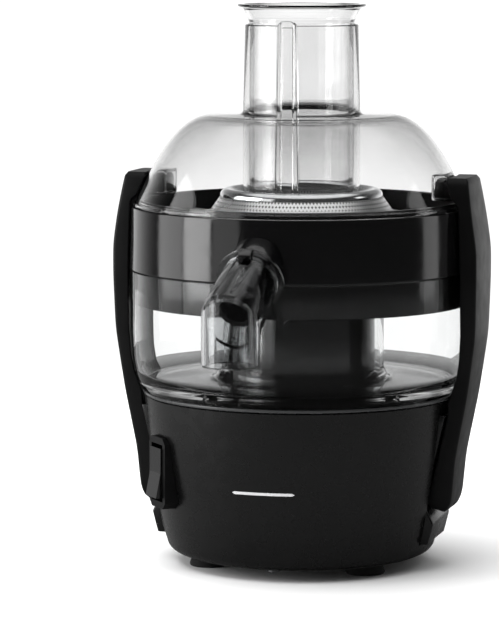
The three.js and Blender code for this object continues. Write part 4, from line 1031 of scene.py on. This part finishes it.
def softbox(name, left_degrees, size, power):
    """An area light to the camera's left by an angle, as seen from the object."""
    angle = math.radians(left_degrees)
    data = bpy.data.lights.new(name, "AREA")
    data.shape = "RECTANGLE"
    data.size, data.size_y = size
    data.energy = power
    light = bpy.data.objects.new(name, data)
    bpy.context.scene.collection.objects.link(light)
    left, forward = -math.sin(angle), -math.cos(angle)
    place = turned((left * SOFTBOX_DISTANCE, forward * SOFTBOX_DISTANCE, SOFTBOX_HEIGHT))
    light.location = Vector((0, AXIS_Y, 0)) + place
    aim = Vector((0, AXIS_Y, AIM_HEIGHT)) - light.location
    light.rotation_euler = aim.to_track_quat("-Z", "Y").to_euler()


def make_sky():
    data = bpy.data.lights.new("sky", "SUN")
    data.energy = SKY_POWER
    data.angle = SKY_SPREAD
    light = bpy.data.objects.new("sky", data)
    bpy.context.scene.collection.objects.link(light)
    down = turned((0.24, 0.0, -1))
    light.rotation_euler = down.to_track_quat("-Z", "Y").to_euler()
    light.visible_glossy = False
    light.visible_transmission = False


def socket_range(tree, source, low, high, start, end):
    result = ranged(tree, source, low, high, start, end)
    result.node.interpolation_type = "SMOOTHSTEP"
    return result


def make_world():
    """A bright field behind the object, another straight above, and dark sides and front.

    The camera itself sees an even white backdrop.
    """
    world = bpy.data.worlds.new("studio")
    bpy.context.scene.world = world
    world.use_nodes = True
    tree = world.node_tree
    place = tree.nodes.new("ShaderNodeTexCoord")
    dot = tree.nodes.new("ShaderNodeVectorMath")
    dot.operation = "DOT_PRODUCT"
    dot.inputs[1].default_value = turned((0, 1, 0))
    tree.links.new(place.outputs["Generated"], dot.inputs[0])
    split = tree.nodes.new("ShaderNodeSeparateXYZ")
    tree.links.new(place.outputs["Generated"], split.inputs["Vector"])
    behind = socket_range(tree, dot.outputs["Value"], FIELD_DARK, FIELD_BRIGHT, 0.35, 0.93)
    above = socket_range(tree, split.outputs["Z"], 1.0, 0.3, 0.02, 0.34)
    ceiling = socket_range(tree, split.outputs["Z"], 0.0, CEILING, 0.62, 0.84)
    field = math_node(tree, "MAXIMUM", math_node(tree, "MULTIPLY", behind, above), ceiling)
    seen = tree.nodes.new("ShaderNodeLightPath")
    direct = math_node(tree, "MULTIPLY", seen.outputs["Is Camera Ray"], BACKDROP)
    strength = math_node(tree, "MAXIMUM", field, direct)
    tree.links.new(strength, tree.nodes["Background"].inputs["Strength"])
    tree.nodes["Background"].inputs["Color"].default_value = (1, 1, 1, 1)


def make_floor():
    """A pale floor that the object's polish reflects as a darker one."""
    bm = bmesh.new()
    bmesh.ops.create_circle(bm, cap_ends=True, segments=128, radius=FLOOR_RADIUS)
    bmesh.ops.translate(bm, vec=(0, AXIS_Y, 0), verts=bm.verts)
    mesh = bpy.data.meshes.new("studio_floor")
    bm.to_mesh(mesh)
    bm.free()
    floor = add_object("studio_floor", mesh)
    material, tree, shader = new_material("pale_floor")
    cloud = noise(tree, 2, 2)
    tree.links.new(tinted(tree, cloud.outputs["Fac"], (0.92, 0.92, 0.92), (0.93, 0.93, 0.93)),
                   shader.inputs["Base Color"])
    shader.inputs["Roughness"].default_value = 0.6
    shader.inputs["Specular IOR Level"].default_value = 0.2
    seen = tree.nodes.new("ShaderNodeLightPath")
    dimmed = tree.nodes.new("ShaderNodeBsdfDiffuse")
    dimmed.inputs["Color"].default_value = (*FLOOR_REFLECTED, 1)
    mixed = tree.nodes.new("ShaderNodeMixShader")
    tree.links.new(seen.outputs["Is Glossy Ray"], mixed.inputs["Fac"])
    tree.links.new(shader.outputs["BSDF"], mixed.inputs[1])
    tree.links.new(dimmed.outputs["BSDF"], mixed.inputs[2])
    tree.links.new(mixed.outputs["Shader"], tree.nodes["Material Output"].inputs["Surface"])
    floor.data.materials.append(material)


def make_studio():
    make_camera()
    make_world()
    make_floor()
    make_sky()
    softbox("left_softbox", 72, (0.5, 1.2), 13)
    softbox("left_fill", 96, (0.55, 1.2), 5.5)
    softbox("left_tail", 50, (0.42, 1.2), 1.8)
    softbox("right_softbox", -94, (0.34, 1.2), 2)
    bpy.context.scene.view_settings.view_transform = "Standard"


# ------------------------------------------------------------------ assembly
dress_cad_nodes()
make_base()
make_trim()
make_housing()
make_feet()
make_mark()
make_brackets()
make_clamps()
make_container()
make_collector()
make_spout()
make_filter()
make_grater()
make_lid()
make_pusher()
make_studio()
